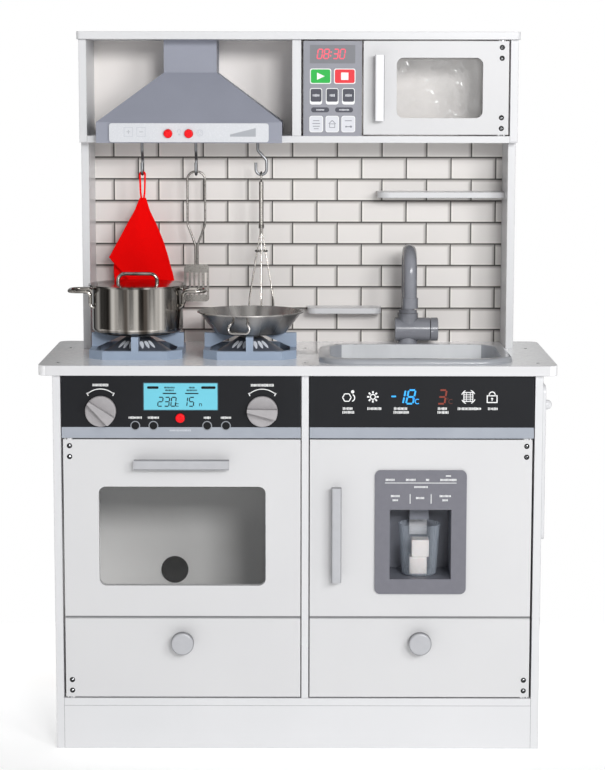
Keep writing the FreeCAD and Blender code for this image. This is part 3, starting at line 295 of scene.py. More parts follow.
def brown_fibre(tree, place):
    """Colour of the sheet's unpainted rear: pressed wood fibres."""
    fibre = add_node(tree, "ShaderNodeTexNoise", {"Vector": place, "Scale": 1000 / FIBRE, "Detail": 4.0})
    brown = add_node(tree, "ShaderNodeMix", {0: fibre.outputs[0], 6: linear("#8d6b49"), 7: linear("#a98560")},
        data_type="RGBA")
    return brown.outputs[2]


back_board, tree, shader, place = new_finish("painted hardboard", "#ecebe9", 0.55)
split = add_node(tree, "ShaderNodeSeparateXYZ", {0: place})
behind = add_node(tree, "ShaderNodeMath",
    {0: split.outputs[1], 1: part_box("lower_back_panel")[1][1] - REAR_SKIN}, operation="GREATER_THAN")
mix = add_node(tree, "ShaderNodeMix",
    {0: behind.outputs[0], 6: linear("#f2f1ef"), 7: brown_fibre(tree, place)}, data_type="RGBA")
tree.links.new(mix.outputs[2], shader.inputs["Base Color"])
grain(tree, shader, place, FIBRE, 0.03)
give(back_board, "lower_back_panel")
black_plastic, tree, shader, place = new_finish("black moulded polypropylene", "#26221f", 0.5)
tone(tree, shader, place, "#2c2825", "#1e1b19", 12)
grain(tree, shader, place, 0.7, 0.02, rough=(0.42, 0.58))
give(black_plastic, "vent_cap", "sound_module")

# ---- Tiled back ----
# Hardboard printed with a brick bond of off-white tiles; the print gives each tile a dark joint
# and a soft shade along it. Inside the box the same sheet is plain.
TILE_HIGH = 32.35         # mm
TILE_WIDE = 66.85
FIRST_JOINT = 565.3       # a level joint, above the floor
EVEN_JOINT = 58.0         # an upright joint in the even rows, from the kitchen's middle
ODD_SHIFT = 30.4
tiles, tree, shader, place = new_finish("tile print on hardboard", "#dedad8", 0.4)
split = add_node(tree, "ShaderNodeSeparateXYZ", {0: place})
level = add_node(tree, "ShaderNodeMath",
    {0: split.outputs[2], 1: 1000 / TILE_HIGH, 2: -FIRST_JOINT / TILE_HIGH},
    operation="MULTIPLY_ADD").outputs[0]
row = add_node(tree, "ShaderNodeMath", {0: level}, operation="FLOOR").outputs[0]
odd = add_node(tree, "ShaderNodeMath", {0: row, 1: 2.0}, operation="FLOORED_MODULO").outputs[0]
along = add_node(tree, "ShaderNodeMath",
    {0: split.outputs[0], 1: 1000 / TILE_WIDE, 2: -EVEN_JOINT / TILE_WIDE},
    operation="MULTIPLY_ADD").outputs[0]
along = add_node(tree, "ShaderNodeMath", {0: odd, 1: ODD_SHIFT / TILE_WIDE, 2: along},
    operation="MULTIPLY_ADD").outputs[0]
column = add_node(tree, "ShaderNodeMath", {0: along}, operation="FLOOR").outputs[0]
up_share = add_node(tree, "ShaderNodeMath", {0: level, 1: row}, operation="SUBTRACT").outputs[0]
up_tile = add_node(tree, "ShaderNodeMath", {0: up_share, 1: TILE_HIGH}, operation="MULTIPLY").outputs[0]
across_share = add_node(tree, "ShaderNodeMath", {0: along, 1: column}, operation="SUBTRACT").outputs[0]
across_tile = add_node(tree, "ShaderNodeMath", {0: across_share, 1: TILE_WIDE},
    operation="MULTIPLY").outputs[0]
below_top = add_node(tree, "ShaderNodeMath", {0: TILE_HIGH, 1: up_tile}, operation="SUBTRACT").outputs[0]
left_of_end = add_node(tree, "ShaderNodeMath", {0: TILE_WIDE, 1: across_tile},
    operation="SUBTRACT").outputs[0]
near_level = add_node(tree, "ShaderNodeMath", {0: up_tile, 1: below_top}, operation="MINIMUM").outputs[0]
near_upright = add_node(tree, "ShaderNodeMath", {0: across_tile, 1: left_of_end},
    operation="MINIMUM").outputs[0]
joint_level = add_node(tree, "ShaderNodeMapRange",
    {0: near_level, 1: 0.7, 2: 1.35, 3: 1.0, 4: 0.0}).outputs[0]
joint_upright = add_node(tree, "ShaderNodeMapRange",
    {0: near_upright, 1: 0.6, 2: 1.2, 3: 1.0, 4: 0.0}).outputs[0]
joint = add_node(tree, "ShaderNodeMath", {0: joint_level, 1: joint_upright}, operation="MAXIMUM").outputs[0]
shade_top = add_node(tree, "ShaderNodeMapRange", {0: below_top, 1: 1.5, 2: 5.0, 3: 0.8, 4: 0.0}).outputs[0]
shade_right = add_node(tree, "ShaderNodeMapRange",
    {0: left_of_end, 1: 1.5, 2: 5.5, 3: 0.62, 4: 0.0}).outputs[0]
shade = add_node(tree, "ShaderNodeMath", {0: shade_top, 1: shade_right}, operation="MAXIMUM").outputs[0]
rise = add_node(tree, "ShaderNodeMath", {0: up_tile, 1: across_tile}, operation="MINIMUM").outputs[0]
lit_edge = add_node(tree, "ShaderNodeMapRange", {0: rise, 1: 1.2, 2: 4.0, 3: 0.8, 4: 0.0}).outputs[0]
number = add_node(tree, "ShaderNodeCombineXYZ", {0: column, 1: row})
pick = add_node(tree, "ShaderNodeTexWhiteNoise", {"Vector": number.outputs[0]}, noise_dimensions="2D")
each = add_node(tree, "ShaderNodeMix", {0: pick.outputs[0], 6: linear("#e0dcd9"), 7: linear("#e6e2df")},
    data_type="RGBA")
edged = add_node(tree, "ShaderNodeMix", {0: lit_edge, 6: each.outputs[2], 7: linear("#f4f1ea")},
    data_type="RGBA")
shaded = add_node(tree, "ShaderNodeMix", {0: shade, 6: edged.outputs[2], 7: linear("#78716d")},
    data_type="RGBA")
jointed = add_node(tree, "ShaderNodeMix", {0: joint, 6: shaded.outputs[2], 7: linear("#332e2b")},
    data_type="RGBA")
plain = add_node(tree, "ShaderNodeMath", {0: split.outputs[2], 1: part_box("box_shelf")[0][2]},
    operation="GREATER_THAN").outputs[0]
inner = add_node(tree, "ShaderNodeMix", {0: plain, 6: jointed.outputs[2], 7: linear("#fcf7f3")},
    data_type="RGBA")
rear = add_node(tree, "ShaderNodeMath",
    {0: split.outputs[1], 1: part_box("upper_back_panel")[1][1] - REAR_SKIN},
    operation="GREATER_THAN").outputs[0]
mix = add_node(tree, "ShaderNodeMix", {0: rear, 6: inner.outputs[2], 7: brown_fibre(tree, place)},
    data_type="RGBA")
tree.links.new(mix.outputs[2], shader.inputs["Base Color"])
untiled = add_node(tree, "ShaderNodeMath", {0: plain, 1: rear}, operation="MAXIMUM").outputs[0]
tiled = add_node(tree, "ShaderNodeMath", {0: 1.0, 1: untiled}, operation="SUBTRACT").outputs[0]
sink_in = add_node(tree, "ShaderNodeMath", {0: joint, 1: tiled}, operation="MULTIPLY").outputs[0]
bump = add_node(tree, "ShaderNodeBump", {"Height": sink_in, "Distance": 0.0002, "Strength": 0.5}, invert=True)
tree.links.new(bump.outputs[0], shader.inputs["Normal"])
give(tiles, "upper_back_panel")

# ---- Oven control panel ----
# MDF covered with a glossy black printed film that ends in a grey strip; lettering, dials' arcs and
# a pale blue display are printed on it. Words are shown as rows of small strokes.
PRINT_BLACK = "#1a1b1f"
STRIP_HIGH = 0.0153       # m
panel_film, tree, shader, place = new_finish("printed gloss film on MDF", PRINT_BLACK, 0.4,
    Specular_IOR_Level=0.2)
PANEL_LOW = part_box("oven_control_panel")[0][2]
split = add_node(tree, "ShaderNodeSeparateXYZ", {0: place})
strip = add_node(tree, "ShaderNodeMath", {0: split.outputs[2], 1: PANEL_LOW + STRIP_HIGH},
    operation="LESS_THAN").outputs[0]
speck = add_node(tree, "ShaderNodeTexNoise", {"Vector": place, "Scale": 1000 / 40, "Detail": 3.0})
black = add_node(tree, "ShaderNodeMix", {0: speck.outputs[0], 6: linear("#131418"), 7: linear("#181a1e")},
    data_type="RGBA")
grey = add_node(tree, "ShaderNodeMix", {0: speck.outputs[0], 6: linear("#949aa4"), 7: linear("#a5aab3")},
    data_type="RGBA")
mix = add_node(tree, "ShaderNodeMix", {0: strip, 6: black.outputs[2], 7: grey.outputs[2]}, data_type="RGBA")
tree.links.new(mix.outputs[2], shader.inputs["Base Color"])
grain(tree, shader, place, 9.0, 0.004, rough=(0.36, 0.42))
give(panel_film, "oven_control_panel", "fridge_control_panel")


def ink(name, colour, glow=0.0):
    """Screen-printing ink: a thin, even, slightly glossy layer; any glow given to it is painted light, as if
    the print shone.
    """
    material, tree, shader, place = new_finish(name, colour, 0.4, Specular_IOR_Level=0.2)
    grain(tree, shader, place, 0.5, 0.002, rough=(0.34, 0.46))
    if glow:
        shader.inputs["Emission Color"].default_value = linear(colour)
        shader.inputs["Emission Strength"].default_value = glow
    return material


white_ink = ink("white printing ink", "#eceded")
black_ink = ink("black printing ink", "#0d0e11")
blue_screen = ink("pale blue display print", "#6fc2d5")
# painted light: the blue ink glows a little, though it is only print
blue_ink = ink("bright blue printing ink", "#3aa9f6", 0.25)
dull_red_ink = ink("dull red printing ink", "#8a3f33")


def rounded(x, z, wide, high, radius=0.0):
    """Outline of a rounded rectangle about a middle, in millimetres."""
    if not radius:
        return [(x - wide / 2, z - high / 2), (x + wide / 2, z - high / 2), (x + wide / 2, z + high / 2),
            (x - wide / 2, z + high / 2)]
    outline = []
    for quarter, (side, up) in enumerate(((1, -1), (1, 1), (-1, 1), (-1, -1))):
        for step in range(5):
            turn = math.radians(-90 + 90 * quarter + 22.5 * step)
            outline.append((x + side * (wide / 2 - radius) + radius * math.cos(turn),
                z + up * (high / 2 - radius) + radius * math.sin(turn)))
    return outline


def disc(x, z, radius, steps=28):
    return [(x + radius * math.cos(2 * math.pi * i / steps), z + radius * math.sin(2 * math.pi * i / steps))
        for i in range(steps)]


def arc(x, z, radius, wide, start, end, steps=16):
    """Outline of a curved band between two angles in degrees."""
    turns = [math.radians(start + (end - start) * i / steps) for i in range(steps + 1)]
    outside = [(x + (radius + wide / 2) * math.cos(t), z + (radius + wide / 2) * math.sin(t)) for t in turns]
    return outside + [(x + (radius - wide / 2) * math.cos(t), z + (radius - wide / 2) * math.sin(t))
        for t in reversed(turns)]


def ring(x, z, radius, wide):
    return [arc(x, z, radius, wide, 0, 180), arc(x, z, radius, wide, 180, 360)]


def frame_of(x, z, wide, high, line):
    """Four bars that draw a rectangle."""
    return [rounded(x, z + high / 2, wide + line, line), rounded(x, z - high / 2, wide + line, line),
        rounded(x - wide / 2, z, line, high - line), rounded(x + wide / 2, z, line, high - line)]


def stroke(x0, z0, x1, z1, wide):
    run = math.hypot(x1 - x0, z1 - z0)
    px, pz = -(z1 - z0) / run * wide / 2, (x1 - x0) / run * wide / 2
    return [(x0 - px, z0 - pz), (x1 - px, z1 - pz), (x1 + px, z1 + pz), (x0 + px, z0 + pz)]


SEGMENTS = {"0": "abcdef", "1": "bc", "2": "abged", "3": "abgcd", "5": "afgcd", "8": "abcdefg", "-": "g"}


def digits(text, x, z, high, line, lean=0.12):
    """Seven-segment numerals, from a left end and a lower edge; a colon is two squares."""
    wide = high * 0.5
    spots = {"a": (0, 2, 1, 2), "b": (1, 2, 1, 1), "c": (1, 1, 1, 0), "d": (0, 0, 1, 0), "e": (0, 1, 0, 0),
        "f": (0, 2, 0, 1), "g": (0, 1, 1, 1)}
    outlines = []
    for sign in text:
        if sign == "1":
            x -= wide * 0.62
        if sign == ":":
            outlines += [rounded(x + lean * high * rise, z + high * rise, line * 1.2, line * 1.2)
                for rise in (0.3, 0.7)]
            x += high * 0.3
            continue
        for name in SEGMENTS[sign]:
            x0, z0, x1, z1 = spots[name]
            ends = [(x + a * wide + lean * high * b / 2, z + b * high / 2) for a, b in ((x0, z0), (x1, z1))]
            gap = line * 0.4 / math.hypot(ends[1][0] - ends[0][0], ends[1][1] - ends[0][1])
            (ax, az), (bx, bz) = ends
            outlines.append(stroke(ax + (bx - ax) * gap, az + (bz - az) * gap, bx - (bx - ax) * gap,
                bz - (bz - az) * gap, line))
        x += wide + line * 1.9
    return outlines


INK_THICK = 0.00012
INK_STEP = 0.0001         # m between one printed layer and the next


def print_on(name, body, face_y, finish, outlines):
    """Thin layer of ink on an upright face: each outline in millimetres becomes a closed slip."""
    points, faces = [], []
    for outline in outlines:
        first, count = len(points), len(outline)
        points += [(x / 1000, face_y - INK_THICK, z / 1000) for x, z in outline]
        points += [(x / 1000, face_y, z / 1000) for x, z in outline]
        faces.append([first + i for i in range(count)])
        faces.append([first + count + i for i in reversed(range(count))])
        for i in range(count):
            j = (i + 1) % count
            faces.append([first + j, first + i, first + count + i, first + count + j])
    mesh = plain_mesh(name, points, faces)
    shape = bmesh.new()
    shape.from_mesh(mesh)
    bmesh.ops.recalc_face_normals(shape, faces=shape.faces)
    shape.to_mesh(mesh)
    shape.free()
    mesh.materials.append(finish)
    piece = bpy.data.objects.new(name, mesh)
    bpy.context.collection.objects.link(piece)
    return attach(piece, body)


# rows of little uneven strokes stand for printed words: a line of points, a stroke on each
word_tree, given, result = tree_of("word strokes",
    [("Start", "Vector"), ("Step", "Vector"), ("Count", "Int"), ("Stroke", "Vector"), ("Seed", "Int"),
    ("Ink", "Material")])
line = add_node(word_tree, "GeometryNodeMeshLine",
    {"Count": given.outputs["Count"], "Start Location": given.outputs["Start"],
    "Offset": given.outputs["Step"]})
letter = add_node(word_tree, "GeometryNodeMeshCube", {"Size": given.outputs["Stroke"]})
vary = add_node(word_tree, "FunctionNodeRandomValue",
    {0: (0.6, 1.0, 0.72), 1: (1.0, 1.0, 1.0), "Seed": given.outputs["Seed"]}, data_type="FLOAT_VECTOR")
words = add_node(word_tree, "GeometryNodeInstanceOnPoints",
    {"Points": line.outputs[0], "Instance": letter.outputs[0], "Scale": vary.outputs[0]})
real = add_node(word_tree, "GeometryNodeRealizeInstances", {0: words.outputs[0]})
painted = add_node(word_tree, "GeometryNodeSetMaterial",
    {0: real.outputs[0], "Material": given.outputs["Ink"]})
word_tree.links.new(painted.outputs[0], result.inputs[0])
WORD_THICK = 0.00016      # m, a little of it sunk in the face


def word(name, body, x, z, wide, high, face_y, finish=None, pitch=1.5):
    """A printed word about a middle, in millimetres."""
    count = max(2, round(wide / pitch))
    grow(name, word_tree, {"Start": ((x - wide / 2 + wide / count / 2) / 1000, face_y - INK_THICK / 2,
        z / 1000), "Step": (wide / count / 1000, 0.0, 0.0), "Count": count,
        "Stroke": (wide / count * 0.78 / 1000, WORD_THICK, high * 1.15 / 1000), "Seed": len(name),
        "Ink": finish or white_ink}, body)


PANEL_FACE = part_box("oven_control_panel")[0][1]
knob_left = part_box("oven_knob_left")
knob_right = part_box("oven_knob_right")
KNOBS = [(sum(axis[0] for axis in box) * 500, sum(axis[2] for axis in box) * 500)
    for box in (knob_left, knob_right)]
arcs = []
for number, (x, z) in enumerate(KNOBS):
    arcs += [arc(x, z + 4, 27.0, 1.2, 50, 130), stroke(x + 16.2, z + 25.8, x + 19.6, z + 24.6, 1.3),
        stroke(x + 17.0, z + 21.4, x + 18.6, z + 25.0, 1.3),
        stroke(x - 16.2, z + 25.8, x - 19.6, z + 24.6, 1.3),
        stroke(x - 17.0, z + 21.4, x - 18.6, z + 25.0, 1.3)]
    word(f"knob_word_{number}", "cabinet", x, z + 36.5, 22 if number == 0 else 32, 3.6, PANEL_FACE)
print_on("knob_arcs", "cabinet", PANEL_FACE, white_ink, arcs)
SCREEN = (-162.5, 503.0, 102.0, 37.0)      # middle, then width and height
x, z, wide, high = SCREEN
print_on("oven_screen_edge", "cabinet", PANEL_FACE, ink("grey screen border", "#3c5560"),
    [rounded(x, z, wide + 2.4, high + 2.4, 1.0)])
print_on("oven_screen", "cabinet", PANEL_FACE - INK_STEP, blue_screen, [rounded(x, z, wide, high, 0.6)])
on_screen = PANEL_FACE - 2 * INK_STEP
signs = digits("230", x - 32, z - 13.5, 12.5, 1.5) + digits("15", x + 6, z - 13.5, 12.5, 1.5)
signs += [rounded(x - 15.5, z + 4.4, 18.5, 1.6), rounded(x + 15.5, z + 4.4, 18.5, 1.6)]
signs += [rounded(x - 38.5, z + 12.6, 16, 3.6, 1.7), rounded(x + 38.5, z + 12.6, 20, 3.6, 1.7)]
signs += [stroke(x - 6.8, z - 10, x - 2.8, z - 10, 0.9), stroke(x - 6.8, z - 13.5, x - 2.8, z - 13.5, 0.9),
    stroke(x - 6.8, z - 13.5, x - 6.8, z - 10, 0.9), stroke(x + 26, z - 13.5, x + 26, z - 9.6, 0.9),
    stroke(x + 26, z - 10, x + 29, z - 10, 0.9), stroke(x + 29, z - 13.5, x + 29, z - 10, 0.9)]
print_on("oven_screen_signs", "cabinet", on_screen, black_ink, signs)
for number, (mid, rise, wide) in enumerate(((x - 15.5, 12.6, 15), (x - 15.5, 8.8, 12), (x + 15.5, 12.6, 8),
        (x + 15.5, 8.8, 15))):
    word(f"screen_word_{number}", "cabinet", mid, z + rise, wide, 2.2, on_screen, black_ink, 1.3)
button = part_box("stove_button")
BUTTON = ((button[0][0] + button[1][0]) * 500, (button[0][2] + button[1][2]) * 500)
dots, rings = [], []
for number, (offset, wide) in enumerate(((-62.5, 19), (-37.3, 16), (37.4, 10), (63.5, 15))):
    x, z = BUTTON[0] + offset, BUTTON[1] - 11.0
    dots.append(disc(x, z, 5.3))
    rings += ring(x, z, 6.1, 1.3)
    word(f"dot_word_{number}", "cabinet", x, z + 11.4, wide, 3.2, PANEL_FACE, None, 1.9)
print_on("oven_dots", "cabinet", PANEL_FACE, black_ink, dots)
print_on("oven_dot_rings", "cabinet", PANEL_FACE, ink("grey printing ink", "#8e9298"), rings)
word("button_word", "cabinet", BUTTON[0], BUTTON[1] - 17.5, 30, 2.6, PANEL_FACE,
    ink("pale grey printing ink", "#c4c8ce"))

# ---- Oven knobs and push buttons ----
# The knobs are grey ABS with a fine spark-eroded texture; the buttons are tinted red polystyrene,
# polished in the mould, so they shine and let a little light in.
knob_abs, tree, shader, place = new_finish("textured grey ABS", "#a3a0a2", 0.5)
tone(tree, shader, place, "#a9a6a8", "#999698", 8)
grain(tree, shader, place, 0.55, 0.02, rough=(0.44, 0.58))
give(knob_abs, "oven_knob_left", "oven_knob_right")
red_button, tree, shader, place = new_finish("red polystyrene", "#e60d18", 0.3, Specular_IOR_Level=0.25,
    Subsurface_Weight=0.1, Subsurface_Scale=0.002)
tone(tree, shader, place, "#f50e1a", "#dd0a14", 4)
grain(tree, shader, place, 2.0, 0.01, rough=(0.24, 0.34))
give(red_button, "stove_button", "hood_button_left", "hood_button_right")

# ---- Fridge control panel ----
# The same printed film on MDF, over the fridge: white symbols, a blue freezer temperature and a
# dull red fridge temperature, with strokes for words under them.
PANEL_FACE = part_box("fridge_control_panel")[0][1]
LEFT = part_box("fridge_control_panel")[0][0] * 1000
ICON_Z = 503.0
WORD_Z = 486.5
x = LEFT + 51.5
white = [stroke(x + 6.0 * math.cos(a), ICON_Z - 1 + 6.0 * math.sin(a), x + 6.0 * math.cos(a + math.pi / 3),
    ICON_Z - 1 + 6.0 * math.sin(a + math.pi / 3), 1.4) for a in (i * math.pi / 3 for i in range(6))]
white += [disc(x + 8.0, ICON_Z + 7.0, 2.3)] + [arc(x + 5.6, ICON_Z - 1.4, 5.2, 1.5, -70, 60)]
x = LEFT + 87.6
white += ring(x, ICON_Z, 3.4, 1.4)
for spoke in range(8):
    turn = math.radians(45 * spoke)
    white.append(stroke(x + 4.9 * math.cos(turn), ICON_Z + 4.9 * math.sin(turn), x + 8.0 * math.cos(turn),
        ICON_Z + 8.0 * math.sin(turn), 2.2))
x = LEFT + 220.0
white += frame_of(x, ICON_Z, 12.4, 12.4, 1.2) + [rounded(x + step, ICON_Z, 0.9, 11.5) for step in (-2.7, 2.7)]
white += [rounded(x, ICON_Z + step, 11.5, 0.9) for step in (-3.1, 0.0, 3.1)]
white += [arc(x, ICON_Z, 9.7, 1.2, 25 + 90 * turn, 70 + 90 * turn) for turn in range(4)]
x = LEFT + 253.0
white += frame_of(x, ICON_Z - 3, 13.6, 9.4, 1.4) + [arc(x, ICON_Z + 3.0, 4.1, 1.4, 0, 180),
    rounded(x - 4.1, ICON_Z + 2.3, 1.4, 1.6), rounded(x + 4.1, ICON_Z + 2.3, 1.4, 1.6),
    disc(x, ICON_Z - 2.4, 1.4), rounded(x, ICON_Z - 4.4, 1.0, 2.6)]
print_on("fridge_symbols", "cabinet", PANEL_FACE, white_ink, white)
x = LEFT + 113.0
figure = [rounded(x + 3.5, ICON_Z + 0.6, 6.5, 2.2)] + digits("18", x + 12.6, ICON_Z - 9.5, 19, 2.3, 0.2)
print_on("freezer_figure", "cabinet", PANEL_FACE, blue_ink,
    figure + ring(x + 31.0, ICON_Z - 2.6, 1.2, 0.8) + [arc(x + 36.4, ICON_Z - 6.4, 3.2, 1.2, 50, 310)])
x = LEFT + 177.5
print_on("fridge_figure", "cabinet", PANEL_FACE, dull_red_ink, digits("3", x, ICON_Z - 9.5, 19, 2.3, 0.15))
print_on("fridge_unit", "cabinet", PANEL_FACE, ink("dark red printing ink", "#55302b"),
    ring(x + 13.4, ICON_Z - 2.6, 1.1, 0.8) + [arc(x + 18.4, ICON_Z - 6.4, 3.0, 1.1, 50, 310)])
for number, (mid, wide, lines) in enumerate(((52.5, 14, 2), (89.5, 20, 1), (126.0, 19, 2), (184.0, 13, 2),
        (221.5, 33, 1), (254.0, 14, 1))):
    for drop in range(lines):
        word(f"fridge_word_{number}_{drop}", "cabinet", LEFT + mid + drop, WORD_Z - 5.2 * drop,
            wide + 3 * drop, 3.4, PANEL_FACE, None, 1.9)

# ---- Doors ----
# MDF sprayed with a white satin lacquer; a groove is milled across each door before spraying, so it
# looks like a door above a drawer. The groove's bottom is coloured dark grey as painted shade in the recess.
GROOVE_LEVEL = 0.1897     # m
GROOVE_HALF = 0.0011
lacquer, tree, shader, place = new_finish("white satin lacquer on MDF", "#d2d2d3", 0.38, Coat_Weight=0.1)
split = add_node(tree, "ShaderNodeSeparateXYZ", {0: place})
above = add_node(tree, "ShaderNodeMath", {0: split.outputs[2], 1: GROOVE_LEVEL},
    operation="SUBTRACT").outputs[0]
off = add_node(tree, "ShaderNodeMath", {0: above}, operation="ABSOLUTE").outputs[0]
inside = add_node(tree, "ShaderNodeMapRange",
    {0: off, 1: GROOVE_HALF, 2: GROOVE_HALF * 1.5, 3: 1.0, 4: 0.0}).outputs[0]
front = add_node(tree, "ShaderNodeMath", {0: split.outputs[1], 1: DOOR_FACE_LOW + 0.003},
    operation="LESS_THAN").outputs[0]
# painted shade: dark grey in the groove on the door's face
groove_shade = add_node(tree, "ShaderNodeMath", {0: inside, 1: front}, operation="MULTIPLY").outputs[0]
cloud = add_node(tree, "ShaderNodeTexNoise", {"Vector": place, "Scale": 1000 / 180, "Detail": 2.0})
paint = add_node(tree, "ShaderNodeMix", {0: cloud.outputs[0], 6: linear("#c8c8ca"), 7: linear("#d0d0d1")},
    data_type="RGBA")
mix = add_node(tree, "ShaderNodeMix", {0: groove_shade, 6: paint.outputs[2], 7: linear("#77787a")},
    data_type="RGBA")
tree.links.new(mix.outputs[2], shader.inputs["Base Color"])
grain(tree, shader, place, 1.6, 0.006, rough=(0.33, 0.44))
give(lacquer, "oven_door", "fridge_door", "microwave_door")

# ---- Windows ----
# Clear PET sheet pinned behind each opening. The oven's is smooth; the microwave's still has its
# crinkled protective film, which scatters light; a few small glints on it are painted highlights, opaque
# white spots.
clear_sheet, tree, shader, place = new_finish("clear PET sheet", "#c4c8ca", 0.08)
drift = add_node(tree, "ShaderNodeTexNoise", {"Vector": place, "Scale": 1000 / 90, "Detail": 2.0})
haze = add_node(tree, "ShaderNodeMapRange", {0: drift.outputs[0], 1: 0.3, 2: 0.7, 3: 0.01, 4: 0.03})
tree.links.new(haze.outputs[0], shader.inputs["Alpha"])
give(clear_sheet, "oven_window")
film_sheet, tree, shader, place = new_finish("PET sheet with crinkled film", "#f2f2f1", 0.3)
wave = add_node(tree, "ShaderNodeTexNoise",
    {"Vector": place, "Scale": 1000 / 16, "Detail": 3.0, "Distortion": 1.2})
bump = add_node(tree, "ShaderNodeBump", {"Height": wave.outputs[0], "Distance": 0.0015, "Strength": 0.5})
tree.links.new(bump.outputs[0], shader.inputs["Normal"])
film = add_node(tree, "ShaderNodeMapRange", {0: wave.outputs[0], 1: 0.35, 2: 0.65, 3: 0.08, 4: 0.12})
# painted highlight: a few small opaque white spots stand in for glints
painted_glint = add_node(tree, "ShaderNodeMapRange", {0: wave.outputs[0], 1: 0.69, 2: 0.71, 3: 0.0, 4: 0.8})
cover = add_node(tree, "ShaderNodeMath", {0: film.outputs[0], 1: painted_glint.outputs[0]},
    operation="ADD").outputs[0]
tree.links.new(cover, shader.inputs["Alpha"])
give(film_sheet, "microwave_window")

# ---- Handles and pull knobs ----
# Moulded ABS, fixed to the faces of the doors: the lower handles and knobs are painted silver
# grey, with a low, soft shine; the microwave handle is plain white.
silver_abs, tree, shader, place = new_finish("silver-grey painted ABS", "#c3c4c7", 0.36, Metallic=0.15)
# painted shade: the silver handles and knobs darken towards their rounded edges
painted_rim_shade(tree, shader, tone(tree, shader, place, "#b8b9bd", "#aaabaf", 14), "#5e5f62", 0.9)
grain(tree, shader, place, 0.5, 0.006, rough=(0.32, 0.42))
give(silver_abs, "oven_handle", "fridge_handle", "oven_pull_knob", "fridge_pull_knob")
white_abs, tree, shader, place = new_finish("white moulded ABS", "#e4e4e6", 0.28, Coat_Weight=0.1)
# painted shade: the white handle and lever darken towards their rounded edges
painted_rim_shade(tree, shader, tone(tree, shader, place, "#e8e8ea", "#dedee1", 20), "#77787c", 0.7)
grain(tree, shader, place, 0.6, 0.006, rough=(0.24, 0.34))
give(white_abs, "microwave_handle", "dispenser_lever")

# ---- Ice dispenser ----
# Grey ABS moulding in the fridge door: a bezel with printed labels, a bay whose grey turns lighter with depth
# as painted light against the shade inside, a chute and hopper behind it. The tumbler is clear polystyrene
# and holds two white toy ice cubes.
bay_abs, tree, shader, place = new_finish("slate grey ABS", "#747680", 0.42)
split = add_node(tree, "ShaderNodeSeparateXYZ", {0: place})
# painted light: the bay's grey turns lighter with depth behind the face
recess_painted_light = add_node(tree, "ShaderNodeMapRange",
    {0: split.outputs[1], 1: DOOR_FACE_LOW - 0.0022, 2: DOOR_FACE_LOW + 0.03, 3: 0.0, 4: 1.0}).outputs[0]
speck = add_node(tree, "ShaderNodeTexNoise", {"Vector": place, "Scale": 1000 / 10, "Detail": 3.0})
outer = add_node(tree, "ShaderNodeMix", {0: speck.outputs[0], 6: linear("#676770"), 7: linear("#717179")},
    data_type="RGBA")
mix = add_node(tree, "ShaderNodeMix", {0: recess_painted_light, 6: outer.outputs[2], 7: linear("#787b85")}, data_type="RGBA")
tree.links.new(mix.outputs[2], shader.inputs["Base Color"])
grain(tree, shader, place, 0.6, 0.012, rough=(0.36, 0.5))
give(bay_abs, "dispenser_housing", "ice_hopper")
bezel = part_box("dispenser_housing")
LABEL_FACE = bezel[0][1]
LABEL_LEFT = bezel[0][0] * 1000
BEZEL_TOP = 400.0
lines = [rounded(LABEL_LEFT + 63.8, BEZEL_TOP - 17.8, 99.5, 0.8),
    rounded(LABEL_LEFT + 102.2, BEZEL_TOP - 7.8, 7.2, 1.4)]
lines += [rounded(LABEL_LEFT + step, BEZEL_TOP - 40.3, 0.9, 13.5) for step in (49.1, 78.4)]
print_on("dispenser_lines", "fridge_door", LABEL_FACE, white_ink, lines)
for number, (mid, drop, wide, high) in enumerate(((21.1, 13.4, 13, 3.0), (49.8, 13.4, 14, 3.0),
        (73.2, 13.4, 5, 3.0), (102.2, 13.4, 23, 3.0), (64.1, 23.5, 19, 2.6), (28.5, 36.3, 13, 2.8),
        (28.5, 42.2, 8, 2.8), (63.0, 39.1, 12, 2.8), (98.0, 36.3, 16, 2.8), (98.0, 42.2, 8, 2.8))):
    word(f"dispenser_word_{number}", "fridge_door", LABEL_LEFT + mid, BEZEL_TOP - drop, wide, high,
        LABEL_FACE, None, 1.7)

clear_cup, tree, shader, place = new_finish("clear polystyrene", "#b4bdc8", 0.07, Specular_IOR_Level=0.7)
edge = add_node(tree, "ShaderNodeLayerWeight", {"Blend": 0.42})
solid = add_node(tree, "ShaderNodeMapRange", {0: edge.outputs["Facing"], 1: 0.1, 2: 0.8, 3: 0.07, 4: 0.85})
tree.links.new(solid.outputs[0], shader.inputs["Alpha"])
flow = add_node(tree, "ShaderNodeTexNoise", {"Vector": place, "Scale": 1000 / 9})
bump = add_node(tree, "ShaderNodeBump", {"Height": flow.outputs[0], "Distance": 0.0002, "Strength": 0.5})
tree.links.new(bump.outputs[0], shader.inputs["Normal"])
give(clear_cup, "tumbler")
ice_white, tree, shader, place = new_finish("matt white moulded cube", "#f0ebe8", 0.6, Subsurface_Weight=0.1,
    Subsurface_Scale=0.003)
tone(tree, shader, place, "#f3eeeb", "#e2dbd8", 6)
grain(tree, shader, place, 1.2, 0.03, rough=(0.5, 0.7))
give(ice_white, "ice_cubes")

# ---- Microwave key panel ----
# A grey printed film on MDF beside the microwave door. The display, the start and stop keys and
# the dark and light keys are all print, in up to three layers, and none of them presses.
panel_grey, tree, shader, place = new_finish("grey printed film on MDF", "#8a8b94", 0.34, Coat_Weight=0.1)
tone(tree, shader, place, "#8f9098", "#84858e", 60)
grain(tree, shader, place, 2.2, 0.004, rough=(0.3, 0.4))
give(panel_grey, "microwave_panel")
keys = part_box("microwave_panel")
KEY_FACE = keys[0][1]
KEY_LEFT = keys[0][0] * 1000
KEY_TOP = keys[1][2] * 1000


